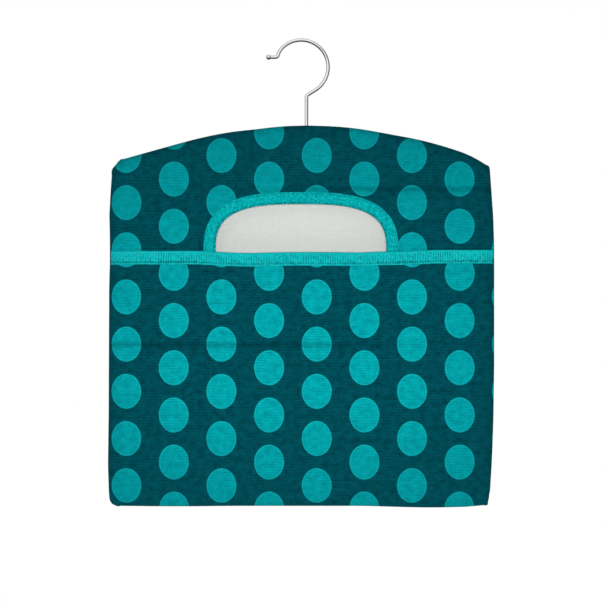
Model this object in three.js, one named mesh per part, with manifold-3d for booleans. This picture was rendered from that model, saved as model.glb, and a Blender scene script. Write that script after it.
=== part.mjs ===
// Peg bag: a flat cloth bag sewn round a wooden hanger bar and hung by a swivelling wire hook.
//
// Millimetres. +Z is up and -Y is the front. X = Y = 0 is the hook's swivel axis, and Z = 0 is
// where a washing line touches the inside of the hook. A "drop" is a distance below the point
// where the hook leaves the bag's top seam. The bag's cloth pieces all follow one grid of columns
// and rows, so that layers which lie on each other keep an even gap.
import * as THREE from "three";
import { mergeVertices } from "three/addons/utils/BufferGeometryUtils.js";
import Module from "manifold-3d";

const wasm = await Module();
wasm.setup();

// Clearances
const touch_gap = 0.3; // between pieces that lie against each other
const cut_overrun = 4; // how far a cutting tool runs past what it cuts

// Hook
const wire_diameter = 3.2;
const loop_radius = 23.9; // of the wire's centreline, over the crown
const loop_end_deg = -58; // where the straight run to the shank leaves the loop
const tip_arc_radius = 16; // the loop tightens towards its tip
const tip_arc_end_deg = 130;
const loop_offset = 4.75; // from the swivel axis to the loop's centre
const loop_to_seam = 51.8; // from the loop's centre down to the bag's top seam
const shank_bend_radius = 3.2;
const tip_bend_radius = 2.2;
const tip_height = 8.7; // of the outturned tip, above the loop's centre
const tip_length = 6.1; // straight wire between the tip's bend and its ball
const ball_diameter = 4.6;
const head_diameter = 5.6; // the upset head that carries the load
const head_thickness = 1.5;
const wire_sides = 10;
const wire_steps = 72;
const ball_rings = 8;

// Washer between the bar and the hook's head
const washer_diameter = 7.6;
const washer_thickness = 1;
const swivel_clearance = 0.35; // radial, round the shank
const round_sides = 20;

// Hanger bar
const bar_thickness = 12;
const bar_height = 28; // at the middle
const bar_top_radius = 402; // the curve of the bag's shoulders
const bar_under_radius = 562;
const bar_edge_round = 4; // seen from the front
const bar_face_round = 5; // seen from above
const bar_side_gap = 8; // from each end to the bag's right side, at its widest
const room_at_bar = 1.1; // between the bar's faces and the lining
const recess_depth = 8; // of the pocket under the bar that holds the washer
const bar_curve_steps = 18;
const bar_end_steps = 6;
const bar_round_steps = 3;

// Cloth
const cloth_thickness = 0.7;
const lining_thickness = 0.5;
const tape_thickness = 0.6;

// Bag outline
const bag_width = 341.8;
const bag_height = 336.5;
const bag_shift = -4.8; // the cloth hangs a little to the left of the hook
const loose_shoulder_share = 0.708; // of the bar's half: past it the left cloth runs on straight
const tight_shoulder_share = 0.852; // of the bar's half: past it the right cloth is drawn down
const tight_shoulder_radius = 90;
const hem_sag = 1.4; // the hem dips a little on the right
const hem_sag_centre = 110;
const hem_sag_reach = 70;
// Shares of the bag's height down the side, and of its width in from the side.
const left_edge_shares = [
  [0.091, 0.032],
  [0.106, 0.0165],
  [0.117, 0.0108],
  [0.169, 0.0071],
  [0.235, 0.0036],
  [0.3, 0.0049],
  [0.367, 0.0049],
  [0.432, 0.003],
  [0.761, 0.0017],
  [0.893, 0],
  [0.958, 0.002],
  [0.98, 0.0035],
  [0.989, 0.0056],
  [0.994, 0.0102],
  [0.998, 0.019],
  [1, 0.026],
];
const right_edge_shares = [
  [0.111, 0.0135],
  [0.117, 0.0109],
  [0.169, 0.0073],
  [0.235, 0.0026],
  [0.314, 0],
  [0.63, 0],
  [0.761, 0.0018],
  [0.827, 0.0036],
  [0.893, 0.0066],
  [0.958, 0.0104],
  [0.995, 0.017],
  [1, 0.02],
];

// Bag depth, as the half gap inside the outer cloth
const depth_at_belly = 11;
const belly_drop = 230; // where the bag is deepest
const top_round = 9;
const shoulder_round = 9;
const side_round = 28;
const side_round_drop = 110; // from here down the sides have their full round
const bottom_round = 60;

// Mouth, the D-shaped opening above the pocket
const mouth_width = 150.5;
const mouth_height = 42.2;
const mouth_shift = -4.9; // from the swivel axis to the mouth's middle
const mouth_curve_exponent = 3;
const mouth_steps = 26;
const binding_width = 10.7;
const binding_back_width = 8;

// Pocket and yoke
const band_top_drop = 112;
const band_width = 12;
const band_back_width = 8;
const yoke_overlap = 18; // how far the yoke runs down behind the pocket
const pocket_settle = 16; // below the yoke the pocket lies back in over this length

// Seams, the overlocked edges inside the bag
const seam_width = 8.4;
const seam_thickness = 1;
const seam_inset = 0.6; // from the bag's outline to the seam's outer edge
const side_seam_start_drop = 70;
const side_seam_end = 12; // above the hem
const bottom_seam_end = 14; // in from the sides
const top_seam_width = 2.4;
const top_seam_hook_room = 4; // to each side of the shank
const top_seam_end = 22; // in from the sides
const seam_steps = 12;

// Grid of the cloth, as shares of the round that each group of lines crosses
const side_line_shares = [0, 0.054, 0.18, 0.43, 1];
const top_line_shares = [0, 0.17, 0.5, 1];
const bottom_line_shares = [1, 0.58, 0.25, 0.083, 0];
const middle_columns = 8;
const yoke_rows = 4;
const pocket_rows = 4;
const place_rounds = 8; // a column and a row meet where they settle

// Materials
const steel = new THREE.MeshStandardMaterial({ color: 0xc9cbc9, roughness: 0.18, metalness: 1 });
const zinc = new THREE.MeshStandardMaterial({ color: 0x9fa3a5, roughness: 0.4, metalness: 1 });
const beech = new THREE.MeshStandardMaterial({ color: 0xc79a63, roughness: 0.6, metalness: 0 });
const teal_print = new THREE.MeshStandardMaterial({ color: 0x025a66, roughness: 0.9, metalness: 0 });
const pale_lining = new THREE.MeshStandardMaterial({ color: 0xd2d4d1, roughness: 0.9, metalness: 0 });
const turquoise_tape = new THREE.MeshStandardMaterial({ color: 0x08adaf, roughness: 0.8, metalness: 0 });
const overlock_thread = new THREE.MeshStandardMaterial({ color: 0x0b5f68, roughness: 0.9, metalness: 0 });

// Small helpers
const mix = (from, to, share) => from + (to - from) * share;
const clamp = (share) => Math.min(1, Math.max(0, share));
const ease = (from, to, value) => {
  const share = clamp((value - from) / (to - from));
  return share * share * (3 - 2 * share);
};
const quarter_round = (share) => Math.sqrt(1 - (1 - clamp(share)) ** 2);
const radians = THREE.MathUtils.degToRad;

// The value at a share along a list of [share, value] pairs, with straight runs between them.
function along(pairs, share) {
  const next = pairs.findIndex((pair) => pair[0] >= share);
  if (next === 0) return pairs[0][1];
  if (next < 0) return pairs[pairs.length - 1][1];
  const [from, to] = [pairs[next - 1], pairs[next]];
  return mix(from[1], to[1], (share - from[0]) / (to[0] - from[0]));
}

// Solids
function solid_of(geometry) {
  const bare = geometry.clone();
  bare.deleteAttribute("normal");
  bare.deleteAttribute("uv");
  const merged = mergeVertices(bare);
  return new wasm.Manifold(
    new wasm.Mesh({
      numProp: 3,
      vertProperties: merged.attributes.position.array,
      triVerts: new Uint32Array(merged.index.array),
    }),
  );
}

function geometry_of(solid) {
  const mesh = solid.getMesh();
  const points = new Float32Array(mesh.numVert * 3);
  for (let v = 0; v < mesh.numVert; v++) {
    points.set(mesh.vertProperties.subarray(v * mesh.numProp, v * mesh.numProp + 3), v * 3);
  }
  const geometry = new THREE.BufferGeometry();
  geometry.setAttribute("position", new THREE.BufferAttribute(points, 3));
  geometry.setIndex(new THREE.BufferAttribute(mesh.triVerts, 1));
  return geometry.toNonIndexed();
}

// A closed skin through rings of points: each ring is one closed section, capped at both ends.
function loft(rings) {
  const size = rings[0].length;
  const points = rings.flat().flatMap((point) => [point.x, point.y, point.z]);
  const faces = [];
  for (let r = 0; r + 1 < rings.length; r++) {
    for (let p = 0; p < size; p++) {
      const [a, b] = [r * size + p, r * size + ((p + 1) % size)];
      faces.push(a, b, b + size, a, b + size, a + size);
    }
  }
  const section = rings[0].map((point) => new THREE.Vector2(...section_axes(rings[0], point)));
  const caps = THREE.ShapeUtils.triangulateShape(section, []);
  const last = (rings.length - 1) * size;
  const turned = THREE.ShapeUtils.area(section) < 0;
  for (const [a, b, c] of caps) {
    faces.push(...(turned ? [a, b, c] : [a, c, b]));
    faces.push(...(turned ? [last + a, last + c, last + b] : [last + a, last + b, last + c]));
  }
  return facing_out(points, faces);
}

// A ring's own flat axes, for cutting its cap into triangles.
function section_axes(ring, point) {
  const along_ring = ring[1].clone().sub(ring[0]).normalize();
  const across_ring = ring[ring.length - 1].clone().sub(ring[0]);
  across_ring.addScaledVector(along_ring, -across_ring.dot(along_ring)).normalize();
  const from_start = point.clone().sub(ring[0]);
  return [from_start.dot(along_ring), from_start.dot(across_ring)];
}

// A geometry with its faces turned so that they point out.
function facing_out(points, faces) {
  const at = (v) => new THREE.Vector3(points[v * 3], points[v * 3 + 1], points[v * 3 + 2]);
  let volume = 0;
  for (let f = 0; f < faces.length; f += 3) {
    volume += at(faces[f]).dot(at(faces[f + 1]).cross(at(faces[f + 2])));
  }
  if (volume < 0) faces.reverse();
  const geometry = new THREE.BufferGeometry();
  geometry.setAttribute("position", new THREE.Float32BufferAttribute(points, 3));
  geometry.setIndex(faces);
  return geometry.toNonIndexed();
}

function disc(diameter, thickness, sides) {
  return new THREE.CylinderGeometry(diameter / 2, diameter / 2, thickness, sides).rotateX(Math.PI / 2);
}

// Places along the hook and down the bag, and what follows from the sizes above
const wire_radius = wire_diameter / 2;
const loop_centre_z = -Math.sqrt((loop_radius - wire_radius) ** 2 - loop_offset ** 2);
const seam_top_z = loop_centre_z - loop_to_seam;
const height_of = (drop) => seam_top_z - drop;
const bore_diameter = wire_diameter + 2 * swivel_clearance;
const bar_half = bag_width / 2 + bag_shift - bar_side_gap;
const bar_top_gap = seam_inset + top_seam_width + touch_gap;
const bar_under_drop = bar_top_gap + bar_height;
const bar_end_drop = bar_under_drop + bar_half ** 2 / (2 * bar_under_radius);
const loose_shoulder = bar_half * loose_shoulder_share;
const tight_shoulder = bar_half * tight_shoulder_share;
const depth_at_bar = bar_thickness / 2 + room_at_bar + lining_thickness + touch_gap / 2;
const yoke_hem_drop = band_top_drop + yoke_overlap;
const pocket_settled_drop = yoke_hem_drop + pocket_settle;
const washer_top_drop = bar_under_drop - recess_depth + touch_gap;
const head_top_drop = washer_top_drop + washer_thickness + touch_gap;

// Hook
class FlatArc extends THREE.Curve {
  constructor(centre_x, centre_z, radius, start, end) {
    super();
    Object.assign(this, { centre_x, centre_z, radius, start, end });
  }

  getPoint(share, target = new THREE.Vector3()) {
    const angle = mix(this.start, this.end, share);
    const [across, up] = [Math.cos(angle) * this.radius, Math.sin(angle) * this.radius];
    return target.set(this.centre_x + across, 0, this.centre_z + up);
  }
}

function hook_path() {
  const path = new THREE.CurvePath();
  const crown_x = -loop_offset;

  // The loop's tighter end runs on from its crown.
  const crown_start = radians(tip_arc_end_deg);
  const shrink = loop_radius - tip_arc_radius;
  const arc_x = crown_x + shrink * Math.cos(crown_start);
  const arc_z = loop_centre_z + shrink * Math.sin(crown_start);

  // The tip turns out where its own bend touches that arc from outside.
  const tip_z = loop_centre_z + tip_height;
  const bend_z = tip_z + tip_bend_radius;
  const reach = tip_arc_radius + tip_bend_radius;
  const arc_start = Math.PI - Math.asin((bend_z - arc_z) / reach);
  const bend_x = arc_x + reach * Math.cos(arc_start);
  path.add(
    new THREE.LineCurve3(
      new THREE.Vector3(bend_x - tip_length, 0, tip_z),
      new THREE.Vector3(bend_x, 0, tip_z),
    ),
  );
  path.add(new FlatArc(bend_x, bend_z, tip_bend_radius, -Math.PI / 2, arc_start - Math.PI));
  path.add(new FlatArc(arc_x, arc_z, tip_arc_radius, arc_start, crown_start));

  const loop_end = radians(loop_end_deg);
  const crown = new FlatArc(crown_x, loop_centre_z, loop_radius, crown_start, loop_end);
  path.add(crown);

  // A straight run leaves the loop and bends down into the shank.
  const leaves = crown.getPoint(1);
  const heading = new THREE.Vector3(Math.sin(loop_end), 0, -Math.cos(loop_end));
  const turn = Math.acos(-heading.z);
  const corner = leaves.clone().addScaledVector(heading, leaves.x / -heading.x);
  const tangent_length = shank_bend_radius * Math.tan(turn / 2);
  const bend_start = corner.clone().addScaledVector(heading, -tangent_length);
  path.add(new THREE.LineCurve3(leaves, bend_start));
  const shank_top = new THREE.Vector3(0, 0, corner.z - tangent_length);
  path.add(new FlatArc(shank_bend_radius, shank_top.z, shank_bend_radius, Math.PI - turn, Math.PI));
  path.add(new THREE.LineCurve3(shank_top, new THREE.Vector3(0, 0, height_of(head_top_drop))));
  return path;
}

function hook() {
  const path = hook_path();
  const section = new THREE.Shape().absarc(0, 0, wire_radius, 0, 2 * Math.PI);
  const wire = new THREE.ExtrudeGeometry(section, {
    steps: wire_steps,
    curveSegments: wire_sides,
    extrudePath: path,
  });
  const tip = path.getPoint(0);
  const ball = new THREE.SphereGeometry(ball_diameter / 2, wire_sides, ball_rings);
  ball.rotateZ(Math.PI / 2).translate(tip.x, tip.y, tip.z);
  const head = disc(head_diameter, head_thickness, round_sides);
  head.translate(0, 0, height_of(head_top_drop) - head_thickness / 2);
  return geometry_of(solid_of(wire).add(solid_of(ball)).add(solid_of(head)));
}

function hook_washer() {
  const plate = disc(washer_diameter, washer_thickness, round_sides);
  const hole = disc(bore_diameter, washer_thickness + cut_overrun, round_sides);
  const washer = geometry_of(solid_of(plate).subtract(solid_of(hole)));
  return washer.translate(0, 0, height_of(washer_top_drop) - washer_thickness / 2);
}

// Hanger bar
function hanger_bar() {
  const top_drop = (x) => bar_top_gap + x ** 2 / (2 * bar_top_radius);
  const under_drop = (x) => bar_under_drop + x ** 2 / (2 * bar_under_radius);
  const end_radius = (under_drop(bar_half) - top_drop(bar_half)) / 2;
  const curve_end = bar_half - end_radius;
  const end_centre = (top_drop(curve_end) + under_drop(curve_end)) / 2;
  const end_half = (under_drop(curve_end) - top_drop(curve_end)) / 2;

  // Clockwise from the left: along the top, round the right end, back underneath, round the left.
  const outline = [];
  const add_edge = (direction, drop_at) => {
    for (let s = 0; s <= bar_curve_steps; s++) {
      const x = direction * mix(-curve_end, curve_end, s / bar_curve_steps);
      outline.push(new THREE.Vector2(x, -drop_at(x)));
    }
  };
  const add_end = (direction) => {
    for (let s = 1; s < bar_end_steps; s++) {
      const angle = mix(Math.PI / 2, -Math.PI / 2, s / bar_end_steps);
      const x = direction * (curve_end + end_radius * Math.cos(angle));
      outline.push(new THREE.Vector2(x, -end_centre + direction * end_half * Math.sin(angle)));
    }
  };
  add_edge(1, top_drop);
  add_end(1);
  add_edge(-1, under_drop);
  add_end(-1);

  const flat = bar_thickness - 2 * bar_face_round;
  const blank = new THREE.ExtrudeGeometry(new THREE.Shape(outline), {
    depth: flat,
    bevelThickness: bar_face_round,
    bevelSize: bar_edge_round,
    bevelOffset: -bar_edge_round,
    bevelSegments: bar_round_steps,
  });
  blank.translate(0, 0, -flat / 2).rotateX(Math.PI / 2).translate(0, 0, seam_top_z);

  const bore_length = bar_height + 2 * cut_overrun;
  const bore = disc(bore_diameter, bore_length, round_sides);
  bore.translate(0, 0, height_of(bar_top_gap + bar_height / 2));
  const recess_length = recess_depth + cut_overrun;
  const recess = disc(washer_diameter + 2 * touch_gap, recess_length, round_sides);
  recess.translate(0, 0, height_of(bar_under_drop - recess_depth) - recess_length / 2);
  return geometry_of(solid_of(blank).subtract(solid_of(bore)).subtract(solid_of(recess)));
}

// Outline of the bag
const left_edge = (drop) =>
  bag_shift - bag_width / 2 + bag_width * along(left_edge_shares, drop / bag_height);
const right_edge = (drop) =>
  bag_shift + bag_width / 2 - bag_width * along(right_edge_shares, drop / bag_height);

function top_edge(x) {
  if (x < -loose_shoulder) {
    const slope = loose_shoulder / bar_top_radius;
    return (loose_shoulder / 2) * slope + (-x - loose_shoulder) * slope;
  }
  const drawn_in = Math.max(0, x - tight_shoulder) ** 2 / (2 * tight_shoulder_radius);
  return x ** 2 / (2 * bar_top_radius) + drawn_in;
}

function bottom_edge(x) {
  const share = clamp(Math.abs(x - hem_sag_centre) / hem_sag_reach);
  return bag_height + hem_sag * (1 + Math.cos(Math.PI * share)) / 2;
}

// Half the gap inside the outer cloth. It closes to nothing at the seams.
function half_depth(x, drop) {
  const fullness = mix(depth_at_bar, depth_at_belly, ease(bar_end_drop, belly_drop, drop));
  const from_side = Math.min(x - left_edge(drop), right_edge(drop) - x);
  const round_here = mix(shoulder_round, side_round, ease(bar_end_drop, side_round_drop, drop));
  return (
    fullness *
    quarter_round(from_side / round_here) *
    quarter_round((bottom_edge(x) - drop) / bottom_round) *
    quarter_round((drop - top_edge(x)) / top_round)
  );
}

// Offsets out from that gap, for each layer of the front from the inside out
const yoke_from = 0;
const yoke_lining_from = yoke_from - touch_gap - lining_thickness;
const binding_front_from = yoke_from + cloth_thickness + touch_gap;
const binding_back_from = yoke_lining_from - touch_gap - tape_thickness;
const band_back_from = binding_front_from + tape_thickness + touch_gap;
const pocket_lining_from = band_back_from + tape_thickness + touch_gap;
const pocket_from = pocket_lining_from + lining_thickness + touch_gap;
const band_front_from = pocket_from + cloth_thickness + touch_gap;
const pocket_edge_drop = band_top_drop + tape_thickness + touch_gap;

// The cloth's grid
const column_lines = [
  ...side_line_shares.map((share) => (left) => left + share * side_round),
  ...Array.from({ length: middle_columns - 1 }, (_, m) => (left, right) =>
    mix(left + side_round, right - side_round, (m + 1) / middle_columns),
  ),
  ...[...side_line_shares].reverse().map((share) => (left, right) => right - share * side_round),
];
const row_lines = [
  ...top_line_shares.map((share) => (x) => top_edge(x) + share * top_round),
  ...Array.from({ length: yoke_rows - 1 }, (_, m) => (x) =>
    mix(top_edge(x) + top_round, pocket_edge_drop, (m + 1) / yoke_rows),
  ),
  () => pocket_edge_drop,
  () => yoke_hem_drop,
  () => pocket_settled_drop,
  ...Array.from({ length: pocket_rows - 1 }, (_, m) => (x) =>
    mix(pocket_settled_drop, bottom_edge(x) - bottom_round, (m + 1) / pocket_rows),
  ),
  ...bottom_line_shares.map((share) => (x) => bottom_edge(x) - share * bottom_round),
];
const last_column = column_lines.length - 1;
const last_row = row_lines.length - 1;
const pocket_edge_row = top_line_shares.length + yoke_rows - 1;
const yoke_hem_row = pocket_edge_row + 1;

// Where a column crosses a row, as x and drop. Each bends with the other, so the two settle.
function crossing(column, row) {
  let drop = bag_height * (row / last_row);
  let x = 0;
  for (let round = 0; round < place_rounds; round++) {
    x = column_lines[column](left_edge(drop), right_edge(drop));
    drop = row_lines[row](x);
  }
  return [x, drop];
}

// A point of cloth: front is -1 and back is 1, and offset is counted out from the gap inside.
const cloth_point = (side, x, drop, offset) =>
  new THREE.Vector3(x, side * (touch_gap / 2 + half_depth(x, drop) + offset), height_of(drop));

// One panel over a block of the grid. Its inner face lies at each row's offset.
function panel(side, columns, rows, thickness, offset_of_row) {
  const [first_column, final_column] = columns;
  const [first_row, final_row] = rows;
  const wide = final_column - first_column + 1;
  const tall = final_row - first_row + 1;
  const points = [];
  for (const out of [0, thickness]) {
    for (let row = first_row; row <= final_row; row++) {
      for (let column = first_column; column <= final_column; column++) {
        const [x, drop] = crossing(column, row);
        points.push(...cloth_point(side, x, drop, offset_of_row(row) + out).toArray());
      }
    }
  }
  const layer = wide * tall;
  const faces = [];
  const quad = (a, b, c, d) => faces.push(a, b, c, a, c, d);
  for (let r = 0; r + 1 < tall; r++) {
    for (let c = 0; c + 1 < wide; c++) {
      const a = r * wide + c;
      quad(a, a + 1, a + wide + 1, a + wide);
      quad(layer + a, layer + a + wide, layer + a + wide + 1, layer + a + 1);
    }
  }
  for (let c = 0; c + 1 < wide; c++) {
    const low = (tall - 1) * wide + c;
    quad(c, layer + c, layer + c + 1, c + 1);
    quad(low, low + 1, layer + low + 1, layer + low);
  }
  for (let r = 0; r + 1 < tall; r++) {
    const [left, right] = [r * wide, r * wide + wide - 1];
    quad(left, left + wide, layer + left + wide, layer + left);
    quad(right, layer + right, layer + right + wide, right + wide);
  }
  return facing_out(points, faces);
}

// Mouth: points round the cut edge of the yoke, from the left leg's foot over to the right one's
const mouth_edge_gap = tape_thickness + touch_gap; // from the visible mouth to the yoke's cut edge
const mouth_half = mouth_width / 2 + mouth_edge_gap;
const mouth_rise = mouth_height + mouth_edge_gap;

function mouth_edge(foot_drop) {
  const points = [[mouth_shift - mouth_half, foot_drop]];
  for (let s = 0; s <= mouth_steps; s++) {
    const angle = Math.PI * (1 - s / mouth_steps);
    const across = Math.sign(Math.cos(angle)) * Math.abs(Math.cos(angle)) ** (2 / mouth_curve_exponent);
    const up = Math.abs(Math.sin(angle)) ** (2 / mouth_curve_exponent);
    points.push([mouth_shift + mouth_half * across, band_top_drop - mouth_rise * up]);
  }
  points.push([mouth_shift + mouth_half, foot_drop]);
  return points;
}

// The prism that opens the mouth in the yoke and its lining
function mouth_cutter() {
  const outline = mouth_edge(yoke_hem_drop + cut_overrun);
  const shape = new THREE.Shape(outline.map(([x, drop]) => new THREE.Vector2(x, height_of(drop))));
  const depth = 2 * (depth_at_belly + cut_overrun);
  const prism = new THREE.ExtrudeGeometry(shape, { depth, bevelEnabled: false });
  return solid_of(prism.rotateX(Math.PI / 2));
}

// The hole in the top seam for the hook's shank
function shank_cutter() {
  const hole = disc(bore_diameter, 2 * top_round, round_sides);
  return solid_of(hole.translate(0, 0, seam_top_z));
}

// Cloth panels
function yoke_panel() {
  const blank = panel(-1, [0, last_column], [0, yoke_hem_row], cloth_thickness, () => yoke_from);
  return geometry_of(solid_of(blank).subtract(mouth_cutter()).subtract(shank_cutter()));
}

function back_panel() {
  const blank = panel(1, [0, last_column], [0, last_row], cloth_thickness, () => yoke_from);
  return geometry_of(solid_of(blank).subtract(shank_cutter()));
}

// The pocket lies over the yoke at its top, and back on the bag's own depth below it.
const over_yoke = (row, offset, settled) => (row <= yoke_hem_row ? offset : settled);

function pocket_panel() {
  const offset_of_row = (row) => over_yoke(row, pocket_from, yoke_from);
  return panel(-1, [0, last_column], [pocket_edge_row, last_row], cloth_thickness, offset_of_row);
}

// Linings stop short of the seams, where the outer cloth is turned in.
const lining_inset_lines = 2;
const lining_columns = [lining_inset_lines, last_column - lining_inset_lines];
const lining_top_row = lining_inset_lines;
const lining_bottom_row = last_row - 1;

function yoke_lining() {
  const rows = [lining_top_row, yoke_hem_row];
  const blank = panel(-1, lining_columns, rows, lining_thickness, () => yoke_lining_from);
  return geometry_of(solid_of(blank).subtract(mouth_cutter()));
}

function pocket_lining() {
  const rows = [pocket_edge_row, lining_bottom_row];
  const offset_of_row = (row) => over_yoke(row, pocket_lining_from, yoke_lining_from);
  return panel(-1, lining_columns, rows, lining_thickness, offset_of_row);
}

function back_lining() {
  const rows = [lining_top_row, lining_bottom_row];
  return panel(1, lining_columns, rows, lining_thickness, () => yoke_lining_from);
}

// Tapes folded over an edge: a section of [distance from the edge, offset] corners
function folded_tape_section(front, back) {
  const rim = touch_gap + tape_thickness;
  return [
    [front.width - rim, front.from],
    [front.width - rim, front.from + tape_thickness],
    [-rim, front.from + tape_thickness],
    [-rim, back.from],
    [back.width - rim, back.from],
    [back.width - rim, back.from + tape_thickness],
    [-touch_gap, back.from + tape_thickness],
    [-touch_gap, front.from],
  ];
}

function mouth_binding() {
  const edge = mouth_edge(yoke_hem_drop);
  const front = { width: binding_width, from: binding_front_from };
  const back = { width: binding_back_width, from: binding_back_from };
  const section = folded_tape_section(front, back);
  const rings = edge.map(([x, drop], p) => {
    const before = edge[Math.max(0, p - 1)];
    const after = edge[Math.min(edge.length - 1, p + 1)];
    const run = new THREE.Vector2(after[0] - before[0], after[1] - before[1]).normalize();
    return section.map(([away, offset]) =>
      cloth_point(-1, x + run.y * away, drop - run.x * away, offset),
    );
  });
  return loft(rings);
}

function pocket_band() {
  const front = { width: band_width, from: band_front_from };
  const back = { width: band_back_width, from: band_back_from };
  const section = folded_tape_section(front, back);
  const rings = column_lines.map((_, column) => {
    const [x] = crossing(column, pocket_edge_row);
    return section.map(([down, offset]) => cloth_point(-1, x, pocket_edge_drop + down, offset));
  });
  return loft(rings);
}

// Seams: the turned-in, overlocked edges, lying in the middle of the bag
function seam_strip(place) {
  const half = seam_thickness / 2;
  const rings = [];
  for (let s = 0; s <= seam_steps; s++) {
    const [outer, inner] = place(s / seam_steps);
    rings.push([
      new THREE.Vector3(outer[0], -half, height_of(outer[1])),
      new THREE.Vector3(outer[0], half, height_of(outer[1])),
      new THREE.Vector3(inner[0], half, height_of(inner[1])),
      new THREE.Vector3(inner[0], -half, height_of(inner[1])),
    ]);
  }
  return loft(rings);
}

function side_seam(edge, inward) {
  return seam_strip((share) => {
    const drop = mix(side_seam_start_drop, bag_height - side_seam_end, share);
    const outer = edge(drop) + inward * seam_inset;
    return [[outer, drop], [outer + inward * seam_width, drop]];
  });
}

function bottom_seam() {
  return seam_strip((share) => {
    const from = left_edge(bag_height) + bottom_seam_end;
    const x = mix(from, right_edge(bag_height) - bottom_seam_end, share);
    const outer = bottom_edge(x) - seam_inset;
    return [[x, outer], [x, outer - seam_width]];
  });
}

// Each half of the top seam runs from the shank out towards one side.
function top_seam(direction) {
  const shoulder_drop = band_top_drop / 2;
  const side = direction < 0 ? left_edge(shoulder_drop) : right_edge(shoulder_drop);
  return seam_strip((share) => {
    const x = mix(direction * top_seam_hook_room, side - direction * top_seam_end, share);
    const outer = top_edge(x) + seam_inset;
    return [[x, outer], [x, outer + top_seam_width]];
  });
}

// The whole bag
const peg_bag = new THREE.Group();

function add(name, geometry, material) {
  const mesh = new THREE.Mesh(geometry, material);
  mesh.name = name;
  peg_bag.add(mesh);
}

add("hook", hook(), steel);
add("hook_washer", hook_washer(), zinc);
add("hanger_bar", hanger_bar(), beech);
add("yoke_panel", yoke_panel(), teal_print);
add("pocket_panel", pocket_panel(), teal_print);
add("back_panel", back_panel(), teal_print);
add("yoke_lining", yoke_lining(), pale_lining);
add("pocket_lining", pocket_lining(), pale_lining);
add("back_lining", back_lining(), pale_lining);
add("mouth_binding", mouth_binding(), turquoise_tape);
add("pocket_band", pocket_band(), turquoise_tape);
add("left_side_seam", side_seam(left_edge, 1), overlock_thread);
add("right_side_seam", side_seam(right_edge, -1), overlock_thread);
add("bottom_seam", bottom_seam(), overlock_thread);
add("top_seam_left", top_seam(-1), overlock_thread);
add("top_seam_right", top_seam(1), overlock_thread);

export default peg_bag;
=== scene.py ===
"""Looks of a lined cloth peg bag that hangs from a swivelling wire hook.

Metres. +Z is up and -Y is the front. X = Y = 0 is the hook's swivel axis, and Z = 0 is where a
washing line touches the inside of the hook. A "drop" is a distance below the point where the hook
leaves the bag's top seam. All the cloth follows one shape, so that layers which lie on each other
keep an even gap, and every wrinkle goes through all of them.
"""

import math
from collections import namedtuple

import bpy
import numpy as np
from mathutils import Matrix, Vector


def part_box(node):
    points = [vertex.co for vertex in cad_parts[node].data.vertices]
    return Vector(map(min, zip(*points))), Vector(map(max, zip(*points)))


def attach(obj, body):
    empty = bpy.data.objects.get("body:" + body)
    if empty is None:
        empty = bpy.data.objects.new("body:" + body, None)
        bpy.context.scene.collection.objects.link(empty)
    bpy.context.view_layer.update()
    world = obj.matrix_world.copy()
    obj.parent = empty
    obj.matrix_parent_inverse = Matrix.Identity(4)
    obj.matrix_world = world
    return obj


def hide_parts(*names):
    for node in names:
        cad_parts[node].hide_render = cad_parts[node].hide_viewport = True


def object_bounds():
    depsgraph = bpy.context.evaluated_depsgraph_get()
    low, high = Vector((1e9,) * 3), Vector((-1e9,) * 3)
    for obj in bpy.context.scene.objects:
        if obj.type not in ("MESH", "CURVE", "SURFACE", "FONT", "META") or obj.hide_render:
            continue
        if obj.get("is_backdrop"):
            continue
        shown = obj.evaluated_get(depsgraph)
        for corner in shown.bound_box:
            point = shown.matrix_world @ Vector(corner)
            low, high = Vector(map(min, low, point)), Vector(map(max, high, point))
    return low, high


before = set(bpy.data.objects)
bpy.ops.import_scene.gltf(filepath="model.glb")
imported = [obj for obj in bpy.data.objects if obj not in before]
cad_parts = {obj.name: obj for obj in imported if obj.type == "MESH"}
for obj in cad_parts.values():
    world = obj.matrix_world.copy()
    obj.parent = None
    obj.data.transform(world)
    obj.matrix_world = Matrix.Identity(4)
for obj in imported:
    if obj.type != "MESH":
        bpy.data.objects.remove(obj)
cad_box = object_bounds()

TOUCH_GAP = 0.0003
FULL_TURN = 2 * math.pi

# Hook
WIRE_RADIUS = 0.0016
LOOP_RADIUS = 0.0239
LOOP_END_DEG = -58
TIP_ARC_RADIUS = 0.016
TIP_ARC_END_DEG = 130
LOOP_OFFSET = 0.00475
LOOP_TO_SEAM = 0.0518
SHANK_BEND_RADIUS = 0.0032
TIP_BEND_RADIUS = 0.0022
TIP_HEIGHT = 0.0087
TIP_LENGTH = 0.0061
BALL_RADIUS = 0.0023
BALL_RINGS = 12
HEAD_RADIUS = 0.0028
HEAD_THICKNESS = 0.0015
WIRE_SIDES = 28
WIRE_STEP = 0.0008

# Hanger bar inside the bag's top
BAR_HEIGHT = 0.028
BAR_TOP_RADIUS = 0.402
BAR_UNDER_RADIUS = 0.562
BAR_HALF = 0.1581
BAR_TOP_GAP = 0.0033

# Bag outline
BAG_WIDTH = 0.3418
BAG_HEIGHT = 0.3365
BAG_SHIFT = -0.0048
LOOSE_SHOULDER = BAR_HALF * 0.708
TIGHT_SHOULDER = BAR_HALF * 0.852
TIGHT_SHOULDER_RADIUS = 0.09
# The hem sags a little at two places, and is drawn up at the right corner
HEM_SAGS = [(-0.115, 0.06, 0.0004), (0.11, 0.07, 0.0014)]
CORNER_LIFT = 0.0011
CORNER_LIFT_REACH = (0.138, 0.163)
CORNER_SOFTNESS = 0.0008
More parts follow.
